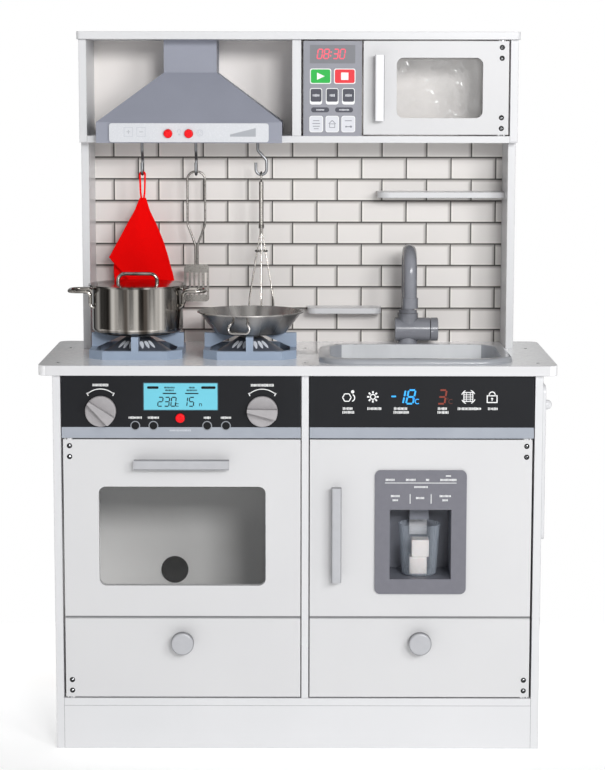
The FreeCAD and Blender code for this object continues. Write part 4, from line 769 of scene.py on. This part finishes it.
def key_slips(name, finish, slips, layer=0):
    """Key shapes given by the left, right, upper and lower offsets from the panel's upper left corner."""
    outlines = [rounded(KEY_LEFT + (left + right) / 2, KEY_TOP - (high + low) / 2, right - left, low - high,
        radius) for left, right, high, low, radius in slips]
    print_on(name, "cabinet", KEY_FACE - INK_STEP * layer, finish, outlines)


DARK_KEYS = [(10.3, 26.1), (33.3, 49.6), (56.6, 73.0)]
LIGHT_KEYS = [(9.6, 27.6), (32.8, 50.4), (55.6, 73.8)]
pale_key = ink("pale grey key print", "#d3d4da")
key_slips("display_print", ink("smoke grey display print", "#7d7e83"), [(9.3, 74.4, 5.7, 31.9, 0.8)])
key_slips("key_borders", white_ink, [(9.5, 39.9, 39.2, 61.0, 3.0),
    (44.0, 74.8, 39.2, 61.0, 3.0)] + [(left - 0.9, right + 0.9, 67.0, 90.4, 3.2) for left,
    right in DARK_KEYS] + [(left - 0.8, right + 0.8, 106.6, 130.0, 3.2) for left, right in LIGHT_KEYS])
key_slips("start_key", ink("green key print", "#2fae4b"), [(10.7, 38.7, 40.4, 59.8, 2.4)], 1)
key_slips("stop_key", ink("red key print", "#e03a42"), [(45.2, 73.6, 40.4, 59.8, 2.4)], 1)
key_slips("dark_keys", ink("dark grey key print", "#50515a"),
    [(left, right, 68.0, 86.4, 2.4) for left, right in DARK_KEYS] + [(11.2, 37.1, 94.4, 101.6, 3.4),
    (45.7, 71.5, 94.4, 101.6, 3.4)], 1)
key_slips("light_keys", pale_key, [(left, right, 107.4, 129.2, 2.6) for left, right in LIGHT_KEYS], 1)
x, z = KEY_LEFT + 24.6, KEY_TOP - 50.1
marks = [[(x - 5, z - 5.2), (x + 6, z), (x - 5, z + 5.2)], rounded(KEY_LEFT + 59.4, z, 10.5, 10.5, 0.6)]
print_on("key_signs", "cabinet", KEY_FACE - 2 * INK_STEP, white_ink, marks)
# painted light: the clock figures glow a little, though they are only print
print_on("clock_figures", "cabinet", KEY_FACE - INK_STEP, ink("pink-red display print", "#f4566b", 0.3),
    digits("08:30", KEY_LEFT + 19.5, KEY_TOP - 25.0, 13.2, 1.5, 0.14))
line_ink = ink("grey line print", "#8f9199")
x, z = KEY_LEFT + 41.6, KEY_TOP - 118.0
house = [stroke(x - 5, z, x, z + 5, 1.0), stroke(x + 5, z, x, z + 5, 1.0)] + frame_of(x, z - 2.6, 7.4, 5.2,
    0.9)
house += [rounded(KEY_LEFT + 18.6, z + rise, wide, 1.1) for rise,
    wide in ((4.5, 9), (0.5, 11), (-3.5, 10), (-7.0, 7))]
house += [rounded(KEY_LEFT + 64.7, z + rise, wide, 1.2) for rise,
    wide in ((4.5, 10), (-4.0, 6))] + [disc(KEY_LEFT + 61.5, z - 4.0, 1.3),
    disc(KEY_LEFT + 68.5, z - 4.0, 1.6)]
print_on("light_key_signs", "cabinet", KEY_FACE - 2 * INK_STEP, line_ink, house)
for number, (mid, drop, wide) in enumerate(((18.2, 77.4, 10), (41.5, 77.4, 8), (64.8, 77.4, 10),
        (24.2, 98.0, 12), (58.6, 98.0, 15))):
    word(f"key_word_{number}", "cabinet", KEY_LEFT + mid, KEY_TOP - drop, wide, 3.4 if number < 3 else 2.2,
        KEY_FACE - 2 * INK_STEP, pale_key, 1.8)

# ---- Cooker hood ----
# Vacuum-formed ABS canopy in a matt blue-grey, and a glossy white fascia clipped to its front.
hood_abs, tree, shader, place = new_finish("matt blue-grey ABS", "#8b8e9b", 0.5)
tone(tree, shader, place, "#8f929f", "#868995", 50)
grain(tree, shader, place, 0.6, 0.012, rough=(0.44, 0.56))
give(hood_abs, "hood_shell")
fascia_abs, tree, shader, place = new_finish("glossy white ABS", "#dddfe2", 0.25, Coat_Weight=0.2)
tone(tree, shader, place, "#d3d5d9", "#cbcdd2", 40)
grain(tree, shader, place, 1.5, 0.004, rough=(0.22, 0.3))
give(fascia_abs, "hood_fascia")
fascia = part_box("hood_fascia")
FASCIA_FACE = fascia[0][1]
x = (fascia[0][0] + fascia[1][0]) * 500
z = (fascia[0][2] + fascia[1][2]) * 500 + 1.2
pale = frame_of(x - 86.6, z, 12.2, 12.6, 0.7) + frame_of(x - 68.4, z, 12.2, 12.6, 0.7)
pale += ring(x + 15.7, z - 1.4, 4.4, 0.9) + [arc(x + 15.7, z - 1.4, 2.2, 0.9, 120 * leaf, 120 * leaf + 80)
    for leaf in range(3)]
pale += [arc(x - 13.9, z + 0.8, 2.6, 0.9, -40, 220), rounded(x - 13.9, z - 3.6, 3.0, 2.4, 0.5)]
print_on("fascia_signs", "cabinet", FASCIA_FACE, ink("pale grey line print", "#b9bcc3"), pale)
signs = [rounded(x - 86.6, z, 5.4, 0.9), rounded(x - 86.6, z + 1.65, 0.9, 2.2),
    rounded(x - 86.6, z - 1.65, 0.9, 2.2), rounded(x - 68.4, z, 5.4, 0.9)]
SCALE_WIDE, SCALE_STEPS = 36.9, 8
for step in range(SCALE_STEPS):
    left = x + 58.9 + SCALE_WIDE * step / SCALE_STEPS
    signs.append([(left, z - 6.6), (left + SCALE_WIDE / SCALE_STEPS, z - 6.6),
        (left + SCALE_WIDE / SCALE_STEPS, z - 3.6 + 9.2 * (step + 1) / SCALE_STEPS),
        (left, z - 3.6 + 9.2 * step / SCALE_STEPS)])
print_on("fascia_scale", "cabinet", FASCIA_FACE, ink("mid grey print", "#a4a7ad"), signs)

# ---- Hob ----
# Two moulded grates in blue-grey ABS stand over slate-coloured burner domes. White flames fan out
# over the front and the back of each dome.
grate_abs, tree, shader, place = new_finish("matt blue-grey grate ABS", "#8c9cb4", 0.46)
tone(tree, shader, place, "#9aa9bd", "#8d9cb1", 18)
grain(tree, shader, place, 0.6, 0.015, rough=(0.4, 0.54))
give(grate_abs, "hob_grates")
dome_abs, tree, shader, place = new_finish("slate ABS", "#555a65", 0.42)
tone(tree, shader, place, "#5b606b", "#4d515b", 14)
grain(tree, shader, place, 0.6, 0.012, rough=(0.34, 0.48))
give(dome_abs, "burner_caps")
flame_white = ink("white flame enamel", "#eef2fa")
petal_tree, given, result = tree_of("flame petals",
    [("Petal", "Object"), ("Centre", "Vector"), ("Count", "Int"), ("In Group", "Float"), ("Spread", "Float"),
    ("Turn", "Float"), ("Finish", "Material")])
petal = add_node(petal_tree, "GeometryNodeObjectInfo", {"Object": given.outputs["Petal"]})
spots = add_node(petal_tree, "GeometryNodeMeshLine",
    {"Count": given.outputs["Count"], "Start Location": given.outputs["Centre"], "Offset": (0.0, 0.0, 0.0)})
number = add_node(petal_tree, "GeometryNodeInputIndex")
share = add_node(petal_tree, "ShaderNodeMath", {0: number.outputs[0], 1: given.outputs["In Group"]},
    operation="DIVIDE")
group = add_node(petal_tree, "ShaderNodeMath", {0: share.outputs[0]}, operation="FLOOR")
base = add_node(petal_tree, "ShaderNodeMath", {0: group.outputs[0], 1: math.pi}, operation="MULTIPLY")
inside = add_node(petal_tree, "ShaderNodeMath", {0: share.outputs[0], 1: group.outputs[0]},
    operation="SUBTRACT")
swing = add_node(petal_tree, "ShaderNodeMath",
    {0: inside.outputs[0], 1: given.outputs["Spread"], 2: base.outputs[0]}, operation="MULTIPLY_ADD")
angle = add_node(petal_tree, "ShaderNodeMath", {0: swing.outputs[0], 1: given.outputs["Turn"]},
    operation="ADD")
facing = add_node(petal_tree, "ShaderNodeCombineXYZ", {2: angle.outputs[0]})
petals = add_node(petal_tree, "GeometryNodeInstanceOnPoints",
    {"Points": spots.outputs[0], "Instance": petal.outputs["Geometry"], "Rotation": facing.outputs[0]})
real = add_node(petal_tree, "GeometryNodeRealizeInstances", {0: petals.outputs[0]})
painted = add_node(petal_tree, "GeometryNodeSetMaterial",
    {0: real.outputs[0], "Material": given.outputs["Finish"]})
petal_tree.links.new(painted.outputs[0], result.inputs[0])
GROUP = 7                 # flames in the fan at the front, and again at the back
PETAL_STEP = math.radians(14.5)
# a petal's outline down the dome's slope: distance from the middle, half width, both in millimetres
PETAL_OUTLINE = ((24.5, 1.4), (27.0, 2.7), (30.5, 2.8), (34.0, 2.1), (37.0, 0.7))
caps = island_boxes("burner_caps")
DOME_TOP = max(box[1][2] for box in caps)
DOME_FALL = 23.0 / 35.0
points = []
for lift in (0.0009, -0.0002):
    for side in (1, -1):
        for out, half in (PETAL_OUTLINE if side == 1 else tuple(reversed(PETAL_OUTLINE))):
            points.append((out / 1000, side * half / 1000, (17.0 - out) / 1000 * DOME_FALL + lift))
count = len(PETAL_OUTLINE) * 2
faces = [list(reversed(range(count))), [count + i for i in range(count)]]
faces += [[i, (i + 1) % count, count + (i + 1) % count, count + i] for i in range(count)]
petal_shape = bpy.data.objects.new("petal", plain_mesh("petal", points, faces))
bpy.context.collection.objects.link(petal_shape)
for side, box in zip(("left", "right"), sorted(caps)):
    grow("flame_petals_" + side, petal_tree,
        {"Petal": petal_shape, "Centre": ((box[0][0] + box[1][0]) / 2, (box[0][1] + box[1][1]) / 2, DOME_TOP),
        "Count": 2 * GROUP, "In Group": GROUP, "Spread": GROUP * PETAL_STEP,
        "Turn": math.pi / 2 - (GROUP - 1) / 2 * PETAL_STEP, "Finish": flame_white}, "cabinet")
bpy.data.objects.remove(petal_shape)

# ---- Sink and tap ----
# The sink is ABS with a silver lacquer sprayed in the bowl and a plain grey rolled rim; the tap is
# solid-coloured grey ABS, darkened towards its edges with painted shade.
sink_abs, tree, shader, place = new_finish("silver lacquered ABS", "#8d9097", 0.3, Coat_Weight=0.6,
    Coat_Roughness=0.08)
BOWL_IN_X, BOWL_IN_Y = 0.034, 0.0152     # m from the rim's ends and sides to the bowl
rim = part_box("sink_basin")
split = add_node(tree, "ShaderNodeSeparateXYZ", {0: place})
inside_x = add_node(tree, "ShaderNodeMath",
    {0: split.outputs[0], 1: (rim[0][0] + rim[1][0]) / 2, 2: (rim[1][0] - rim[0][0]) / 2 - BOWL_IN_X},
    operation="COMPARE")
inside_y = add_node(tree, "ShaderNodeMath",
    {0: split.outputs[1], 1: (rim[0][1] + rim[1][1]) / 2, 2: (rim[1][1] - rim[0][1]) / 2 - BOWL_IN_Y},
    operation="COMPARE")
bowl = add_node(tree, "ShaderNodeMath", {0: inside_x.outputs[0], 1: inside_y.outputs[0]},
    operation="MULTIPLY").outputs[0]
# painted reflection: upright streaks in the bowl's silver and, fainter, in the rim's grey
reflection_streak_at = add_node(tree, "ShaderNodeMapping", {"Vector": place, "Scale": (1.0, 1.0, 0.3)}).outputs[0]
reflection_streak = add_node(tree, "ShaderNodeTexNoise", {"Vector": reflection_streak_at, "Scale": 1000 / 60, "Detail": 3.0})
silver = add_node(tree, "ShaderNodeMix", {0: reflection_streak.outputs[0], 6: linear("#c0c2c6"), 7: linear("#e9ebed")},
    data_type="RGBA")
grey = add_node(tree, "ShaderNodeMix", {0: reflection_streak.outputs[0], 6: linear("#91949a"), 7: linear("#9fa2a8")},
    data_type="RGBA")
mix = add_node(tree, "ShaderNodeMix", {0: bowl, 6: grey.outputs[2], 7: silver.outputs[2]}, data_type="RGBA")
tree.links.new(mix.outputs[2], shader.inputs["Base Color"])
give(sink_abs, "sink_basin")
tap_abs, tree, shader, place = new_finish("dark grey ABS", "#7c7e85", 0.24, Coat_Weight=0.4,
    Coat_Roughness=0.12)
# painted shade: the tap darkens towards its edges
painted_rim_shade(tree, shader, tone(tree, shader, place, "#8c8e95", "#7e8088", 20), "#44464c", 0.95)
grain(tree, shader, place, 1.0, 0.006, rough=(0.2, 0.3))
give(tap_abs, "tap_body", "tap_spout", "tap_knob")

# ---- Pot, lid and pan ----
# Deep-drawn stainless steel, polished on the pot; its colour carries upright light and dark bands of painted
# reflection and darkens at its rim with painted shade. The lid is spun, and the pan is brushed in rings.
# Their handles are bent rod, spot welded on.


def steel_with_painted_bands(name, node, colours, roughness, around_count, rings_mm=None):
    """Steel whose polish changes round the middle of a node, or in rings about it; its tone there carries
    painted reflection bands and a painted shade at its rim.
    """
    material, tree, shader, place = new_finish(name, colours[0], roughness[0], Metallic=1.0)
    low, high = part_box(node)
    centred = add_node(tree, "ShaderNodeMapping",
        {"Vector": place, "Location": (-(low[0] + high[0]) / 2, -(low[1] + high[1]) / 2, 0)}).outputs[0]
    split = add_node(tree, "ShaderNodeSeparateXYZ", {0: centred})
    level = add_node(tree, "ShaderNodeCombineXYZ", {0: split.outputs[0], 1: split.outputs[1]})
    away = add_node(tree, "ShaderNodeVectorMath", {0: level.outputs[0]}, operation="LENGTH")
    unit = add_node(tree, "ShaderNodeVectorMath", {0: level.outputs[0]}, operation="NORMALIZE")
    # painted reflection: upright light and dark bands round the middle; the rim darkening below is painted
    # shade
    painted_bands = add_node(tree, "ShaderNodeTexNoise",
        {"Vector": unit.outputs[0], "Scale": around_count, "Detail": 2.5})
    spread = add_node(tree, "ShaderNodeMapRange", {0: painted_bands.outputs[0], 1: 0.36, 2: 0.64},
        interpolation_type="SMOOTHSTEP")
    mix = add_node(tree, "ShaderNodeMix",
        {0: spread.outputs[0], 6: linear(colours[1]), 7: linear(colours[0])}, data_type="RGBA")
    painted_rim_shade(tree, shader, mix.outputs[2], colours[2], 0.9)
    spread = add_node(tree, "ShaderNodeMapRange",
        {0: painted_bands.outputs[0], 1: 0.3, 2: 0.7, 3: roughness[0], 4: roughness[1]})
    tree.links.new(spread.outputs[0], shader.inputs["Roughness"])
    if rings_mm:
        scaled = add_node(tree, "ShaderNodeMath", {0: away.outputs["Value"], 1: 1000 / rings_mm},
            operation="MULTIPLY")
        rings = add_node(tree, "ShaderNodeTexNoise", {"W": scaled.outputs[0], "Scale": 1.0, "Detail": 2.0},
            noise_dimensions="1D")
        bump = add_node(tree, "ShaderNodeBump",
            {"Height": rings.outputs[0], "Distance": 0.00003, "Strength": 0.7})
        tree.links.new(bump.outputs[0], shader.inputs["Normal"])
    return material


polished = steel_with_painted_bands("polished stainless steel", "pot_body", ("#e2ddd6", "#58514b", "#2a2623"),
    (0.06, 0.14), 3.2)
give(polished, "pot_body")
spun = steel_with_painted_bands("spun stainless steel", "pot_lid", ("#c6c1bb", "#77726c", "#3a3633"), (0.1, 0.18), 2.6,
    1.2)
give(spun, "pot_lid")
brushed = steel_with_painted_bands("brushed stainless steel", "pan", ("#dfdcd8", "#bab7b4", "#5c5a58"), (0.24, 0.32),
    2.0, 0.8)
give(brushed, "pan")

# ---- Hooks, whisk and turner ----
# Screw hooks of zinc-plated wire; the whisk and turner are bright drawn stainless wire. A thin wire
# tie holds the whisk's loops in place below its handle.
# painted shade and reflection: each of these finishes darkens where the wire turns away from the viewer
hook_zinc, tree, shader, place = new_finish("dull zinc-plated wire", "#8d8f92", 0.34, Metallic=0.9)
painted_rim_shade(tree, shader, tone(tree, shader, place, "#aeb0b3", "#909296", 30), "#3c3e42", 0.5)
give(hook_zinc, "utensil_hooks")
wire_steel, tree, shader, place = new_finish("bright drawn stainless wire", "#c8c5c1", 0.26, Metallic=1.0)
painted_rim_shade(tree, shader, tone(tree, shader, place, "#dcd8d2", "#b9b5af", 40), "#2c2724", 0.5)
give(wire_steel, "whisk")
turner_steel, tree, shader, place = new_finish("dull stamped stainless steel", "#8f8b87", 0.3, Metallic=1.0)
painted_rim_shade(tree, shader, tone(tree, shader, place, "#bab6b1", "#7c7874", 30), "#2c2724", 0.6)
grain(tree, shader, place, 1.5, 0.006, rough=(0.24, 0.36))
give(turner_steel, "turner")
coil_tree, given, result = tree_of("wire tie",
    [("Middle", "Vector"), ("Radius", "Float"), ("Wire", "Float"), ("Turns", "Int"), ("Finish", "Material")])
loop = add_node(coil_tree, "GeometryNodeCurvePrimitiveCircle",
    {"Resolution": 40, "Radius": given.outputs["Radius"]})
spots = add_node(coil_tree, "GeometryNodeMeshLine",
    {"Count": given.outputs["Turns"], "Start Location": given.outputs["Middle"],
    "Offset": (0.0, 0.0, 0.0011)})
loops = add_node(coil_tree, "GeometryNodeInstanceOnPoints",
    {"Points": spots.outputs[0], "Instance": loop.outputs[0]})
real = add_node(coil_tree, "GeometryNodeRealizeInstances", {0: loops.outputs[0]})
thin = add_node(coil_tree, "GeometryNodeCurvePrimitiveCircle",
    {"Resolution": 8, "Radius": given.outputs["Wire"]})
swept = add_node(coil_tree, "GeometryNodeCurveToMesh",
    {"Curve": real.outputs[0], "Profile Curve": thin.outputs[0]})
painted = add_node(coil_tree, "GeometryNodeSetMaterial",
    {0: swept.outputs[0], "Material": given.outputs["Finish"]})
coil_tree.links.new(painted.outputs[0], result.inputs[0])
COLLAR_DROP, TIE_DROP, TIE_WIRE = 0.0835, 0.118, 0.0006     # m, the drops from its top
whisk_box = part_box("whisk")
WHISK_X = (whisk_box[0][0] + whisk_box[1][0]) / 2
WHISK_Y = (whisk_box[0][1] + whisk_box[1][1]) / 2
grow("whisk_collar", coil_tree, {"Middle": (WHISK_X, WHISK_Y, whisk_box[1][2] - COLLAR_DROP),
    "Radius": 0.0036, "Wire": TIE_WIRE, "Turns": 5, "Finish": wire_steel}, "whisk")
grow("whisk_tie", coil_tree, {"Middle": (WHISK_X, WHISK_Y, whisk_box[1][2] - TIE_DROP), "Radius": 0.0092,
    "Wire": TIE_WIRE, "Turns": 2, "Finish": wire_steel}, "whisk")

# ---- Pot cloth ----
# Red woven cotton, folded over once and hung by a sewn tape loop from its corner; the front layer
# lies nearly flat, the back one shows past its left edge. It has a turned and stitched hem.
cloth_red, tree, shader, place = new_finish("red woven cotton", "#e20404", 0.9, Specular_IOR_Level=0.1)
THREAD = 0.9              # mm, drawn coarser than real so that it shows
weave_at = add_node(tree, "ShaderNodeUVMap").outputs[0]
split = add_node(tree, "ShaderNodeSeparateXYZ", {0: weave_at})
warp_turn = add_node(tree, "ShaderNodeMath", {0: split.outputs[0], 1: 2 * math.pi / THREAD},
    operation="MULTIPLY").outputs[0]
weft_turn = add_node(tree, "ShaderNodeMath", {0: split.outputs[1], 1: 2 * math.pi / THREAD},
    operation="MULTIPLY").outputs[0]
warp = add_node(tree, "ShaderNodeMath", {0: warp_turn}, operation="SINE").outputs[0]
weft = add_node(tree, "ShaderNodeMath", {0: weft_turn}, operation="SINE").outputs[0]
cross = add_node(tree, "ShaderNodeMath", {0: warp, 1: weft}, operation="MULTIPLY").outputs[0]
slub = add_node(tree, "ShaderNodeTexNoise", {"Vector": place, "Scale": 1000 / 6, "Detail": 3.0})
height = add_node(tree, "ShaderNodeMath", {0: slub.outputs[0], 1: 0.8, 2: cross},
    operation="MULTIPLY_ADD").outputs[0]
bump = add_node(tree, "ShaderNodeBump", {"Height": height, "Distance": 0.0002, "Strength": 0.6})
tree.links.new(bump.outputs[0], shader.inputs["Normal"])
# partly painted light: the red is lighter where the weave stands high, on the thread crowns; the slub noise
# also varies it
blend = add_node(tree, "ShaderNodeMapRange", {0: height, 1: -1.0, 2: 1.6, 3: 0.0, 4: 1.0})
mix = add_node(tree, "ShaderNodeMix", {0: blend.outputs[0], 6: linear("#e80000"), 7: linear("#ff0202")},
    data_type="RGBA")
tree.links.new(mix.outputs[2], shader.inputs["Base Color"])
# the cloth's edges, level by level: drop from the corner, then the left edge, the folded right edge
# and the back layer's left edge
CLOTH_EDGES = ((0, -4, 4, -3), (-20, -12.5, 9.6, -11), (-42, -25, 19.5, -22), (-66, -38, 29, -33),
    (-88, -50.5, 35.5, -42), (-100, -41, 38.5, -44), (-112, -30, 42, -44), (-130, -16, 45.5, -42),
    (-148, -4, 43, -38), (-164, 10, 40, -28), (-176, 25, 38, -12))
cloth_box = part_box("pot_cloth")
cad_loop = [vert.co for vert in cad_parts["pot_cloth"].data.vertices
    if vert.co.z > cloth_box[1][2] - 0.03]
CORNER_X = (min(co.x for co in cad_loop) + max(co.x for co in cad_loop)) / 2
CORNER_Y = (cloth_box[0][1] + cloth_box[1][1]) / 2
CORNER_Z = cloth_box[1][2] - 0.0391


def edges_at(drop):
    """Left, fold and back edges at a drop below the corner, smoothed between the given levels."""
    for (z0, *first), (z1, *second) in zip(CLOTH_EDGES, CLOTH_EDGES[1:]):
        if z1 <= drop <= z0:
            share = (drop - z0) / (z1 - z0)
            return [a + (b - a) * share for a, b in zip(first, second)]
    return list(CLOTH_EDGES[-1][1:])


ACROSS, DOWN = 44, 60
points, spots = [], []
for row in range(DOWN + 1):
    drop = CLOTH_EDGES[-1][0] * row / DOWN
    left, fold, back = edges_at(drop)
    open_up = min(1.0, -drop / 60 + 0.25)
    line = []
    for i in range(ACROSS + 1):
        share = i / ACROSS
        line.append((left + (fold - left) * share,
            -2.1 * open_up - 1.1 * open_up * math.sin(math.pi * share) ** 0.7 - 0.9 * open_up
            * math.sin(7 * share + drop / 34)))
    for i in range(1, 8):
        turn = math.pi * i / 8 - math.pi / 2
        line.append((fold + 1.6 * open_up * math.cos(turn), 0.2 + 2.4 * open_up * math.sin(turn)))
    for i in range(ACROSS + 1):
        share = i / ACROSS
        line.append((fold + (back - fold) * share,
            2.4 * open_up + 0.8 * open_up * math.sin(5 * share + 1 - drop / 40)))
    run = 0.0
    for i, (x, y) in enumerate(line):
        if i:
            run += math.hypot(x - line[i - 1][0], y - line[i - 1][1])
        points.append((CORNER_X + x / 1000, CORNER_Y + y / 1000, CORNER_Z + drop / 1000))
        spots.append((run, drop))
wide = len(points) // (DOWN + 1)
faces = [(row * wide + i, row * wide + i + 1, (row + 1) * wide + i + 1, (row + 1) * wide + i)
    for row in range(DOWN) for i in range(wide - 1)]
faces = [tuple(reversed(face)) for face in faces]
mesh = plain_mesh("pot_cloth_sheet", points, faces)
uv = mesh.uv_layers.new(name="threads")
for corner in mesh.loops:
    uv.data[corner.index].uv = spots[corner.vertex_index]
# the sheet is folded and not stretched, so it is declared as a square of the same area
mesh.materials.append(cloth_red)
cloth = bpy.data.objects.new("pot_cloth_sheet", mesh)
bpy.context.collection.objects.link(cloth)
for polygon in mesh.polygons:
    polygon.use_smooth = True
thicken = cloth.modifiers.new("thickness", "SOLIDIFY")
thicken.thickness = 0.0009
thicken.offset = 0.0
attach(cloth, "pot_cloth")
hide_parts("pot_cloth")

# tape loop: a flat strap over the hook and down into the corner
TAPE = (0.0030, 0.0026)
half = (max(co.x for co in cad_loop) - min(co.x for co in cad_loop)) / 2 - 0.0011
crest = cloth_box[1][2] - 0.0011
path = [(-half * 0.3, CORNER_Z - 0.006), (-half * 0.8, CORNER_Z + 0.008)]
path += [(-half * math.cos(turn), crest - half + half * math.sin(turn))
    for turn in (math.pi * i / 12 for i in range(13))]
path += [(half * 0.8, CORNER_Z + 0.008), (half * 0.3, CORNER_Z - 0.006)]
points, faces = [], []
for i, (x, z) in enumerate(path):
    before, after = path[max(i - 1, 0)], path[min(i + 1, len(path) - 1)]
    run = Vector((after[0] - before[0], 0, after[1] - before[1])).normalized()
    out = Vector((-run.z, 0, run.x)) * TAPE[1] / 2
    middle = Vector((CORNER_X + x, CORNER_Y, z))
    side = Vector((0, TAPE[0] / 2, 0))
    points += [middle + out + side, middle + out - side, middle - out - side, middle - out + side]
for i in range(len(path) - 1):
    for j in range(4):
        a, b = 4 * i + j, 4 * i + (j + 1) % 4
        faces.append((a, b, b + 4, a + 4))
faces += [(3, 2, 1, 0), tuple(4 * (len(path) - 1) + j for j in range(4))]
tape = bpy.data.objects.new("pot_cloth_loop",
    plain_mesh("pot_cloth_loop", [tuple(point) for point in points], faces))
bpy.context.collection.objects.link(tape)
tape.data.uv_layers.new(name="threads")
tape.data.materials.append(cloth_red)
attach(tape, "pot_cloth")

# ---- Camera, floor and light ----
# A long lens at chest height, tipped slightly down. The floor is plain and pale and glows more
# towards the back; two large soft lamps stand at the front, and the room is bright all round.
camera = bpy.data.objects.new("camera", bpy.data.cameras.new("camera"))
bpy.context.collection.objects.link(camera)
camera.data.sensor_fit = "VERTICAL"
camera.data.sensor_height = 36.0
camera.data.lens = 104.86
CAMERA_PLACE = (0.01036, -3.21693, 0.93665)
tilt, swing, roll = (math.radians(angle) for angle in (-7.712, -0.0714, 0.0722))
ahead = Vector((math.sin(swing) * math.cos(tilt), math.cos(swing) * math.cos(tilt), math.sin(tilt)))
level = Vector((math.cos(swing), -math.sin(swing), 0))
upward = level.cross(ahead)
right = math.cos(roll) * level + math.sin(roll) * upward
top = math.cos(roll) * upward - math.sin(roll) * level
stand = Matrix((right, top, -ahead)).transposed().to_4x4()
stand.translation = CAMERA_PLACE
camera.matrix_world = stand
bpy.context.scene.camera = camera
bpy.context.scene.view_settings.view_transform = "Standard"

floor = bpy.data.objects.new("floor",
    plain_mesh("floor", [(-4, -5, 0), (4, -5, 0), (4, 0.6, 0), (-4, 0.6, 0)], [(0, 1, 2, 3)]))
bpy.context.collection.objects.link(floor)
floor_paint, tree, shader, place = new_finish("pale matt floor paint", "#f4f4f4", 0.8, Specular_IOR_Level=0.1)
shader.inputs["Emission Color"].default_value = linear("#ffffff")
depth = add_node(tree, "ShaderNodeSeparateXYZ", {0: place}).outputs[1]
glow = add_node(tree, "ShaderNodeMapRange", {0: depth, 1: -0.25, 2: 0.3, 3: 0.3, 4: 0.66})
tree.links.new(glow.outputs[0], shader.inputs["Emission Strength"])
tone(tree, shader, place, "#f6f6f6", "#f1f1f1", 900)
floor.data.materials.append(floor_paint)

world = bpy.data.worlds.new("studio")
bpy.context.scene.world = world
world.use_nodes = True
tree = world.node_tree
around = add_node(tree, "ShaderNodeTexCoord").outputs["Generated"]
turned = add_node(tree, "ShaderNodeSeparateXYZ", {0: around})
band = add_node(tree, "ShaderNodeMath", {0: turned.outputs[0], 1: 15.0, 2: -0.12}, operation="MULTIPLY_ADD")
wave = add_node(tree, "ShaderNodeMath", {0: band.outputs[0]}, operation="COSINE")
shade = add_node(tree, "ShaderNodeMapRange", {0: wave.outputs[0], 1: -0.6, 2: 0.6, 3: 0.1, 4: 0.75},
    interpolation_type="SMOOTHSTEP")
lit = add_node(tree, "ShaderNodeBackground", {"Color": linear("#ffffff"), "Strength": shade.outputs[0]})
seen = add_node(tree, "ShaderNodeBackground", {"Color": linear("#ffffff"), "Strength": 1.0})
ray = add_node(tree, "ShaderNodeLightPath")
both = add_node(tree, "ShaderNodeMixShader",
    {0: ray.outputs["Is Camera Ray"], 1: lit.outputs[0], 2: seen.outputs[0]})
tree.links.new(both.outputs[0], tree.nodes["World Output"].inputs[0])


def soft_lamp(name, place, aim, size, power):
    lamp = bpy.data.objects.new(name, bpy.data.lights.new(name, "AREA"))
    lamp.data.shape = "RECTANGLE"
    lamp.data.size, lamp.data.size_y = size
    lamp.data.energy = power
    lamp.matrix_world = Matrix.Translation(place) @ (Vector(aim) - Vector(place)).to_track_quat("-Z",
        "Y").to_matrix().to_4x4()
    bpy.context.collection.objects.link(lamp)


soft_lamp("key", (0.9, -4.1, 1.75), (0, 0, 0.45), (0.9, 0.6), 69)
soft_lamp("fill", (1.25, -2.1, 1.35), (-0.1, 0, 1.0), (0.6, 0.6), 17)
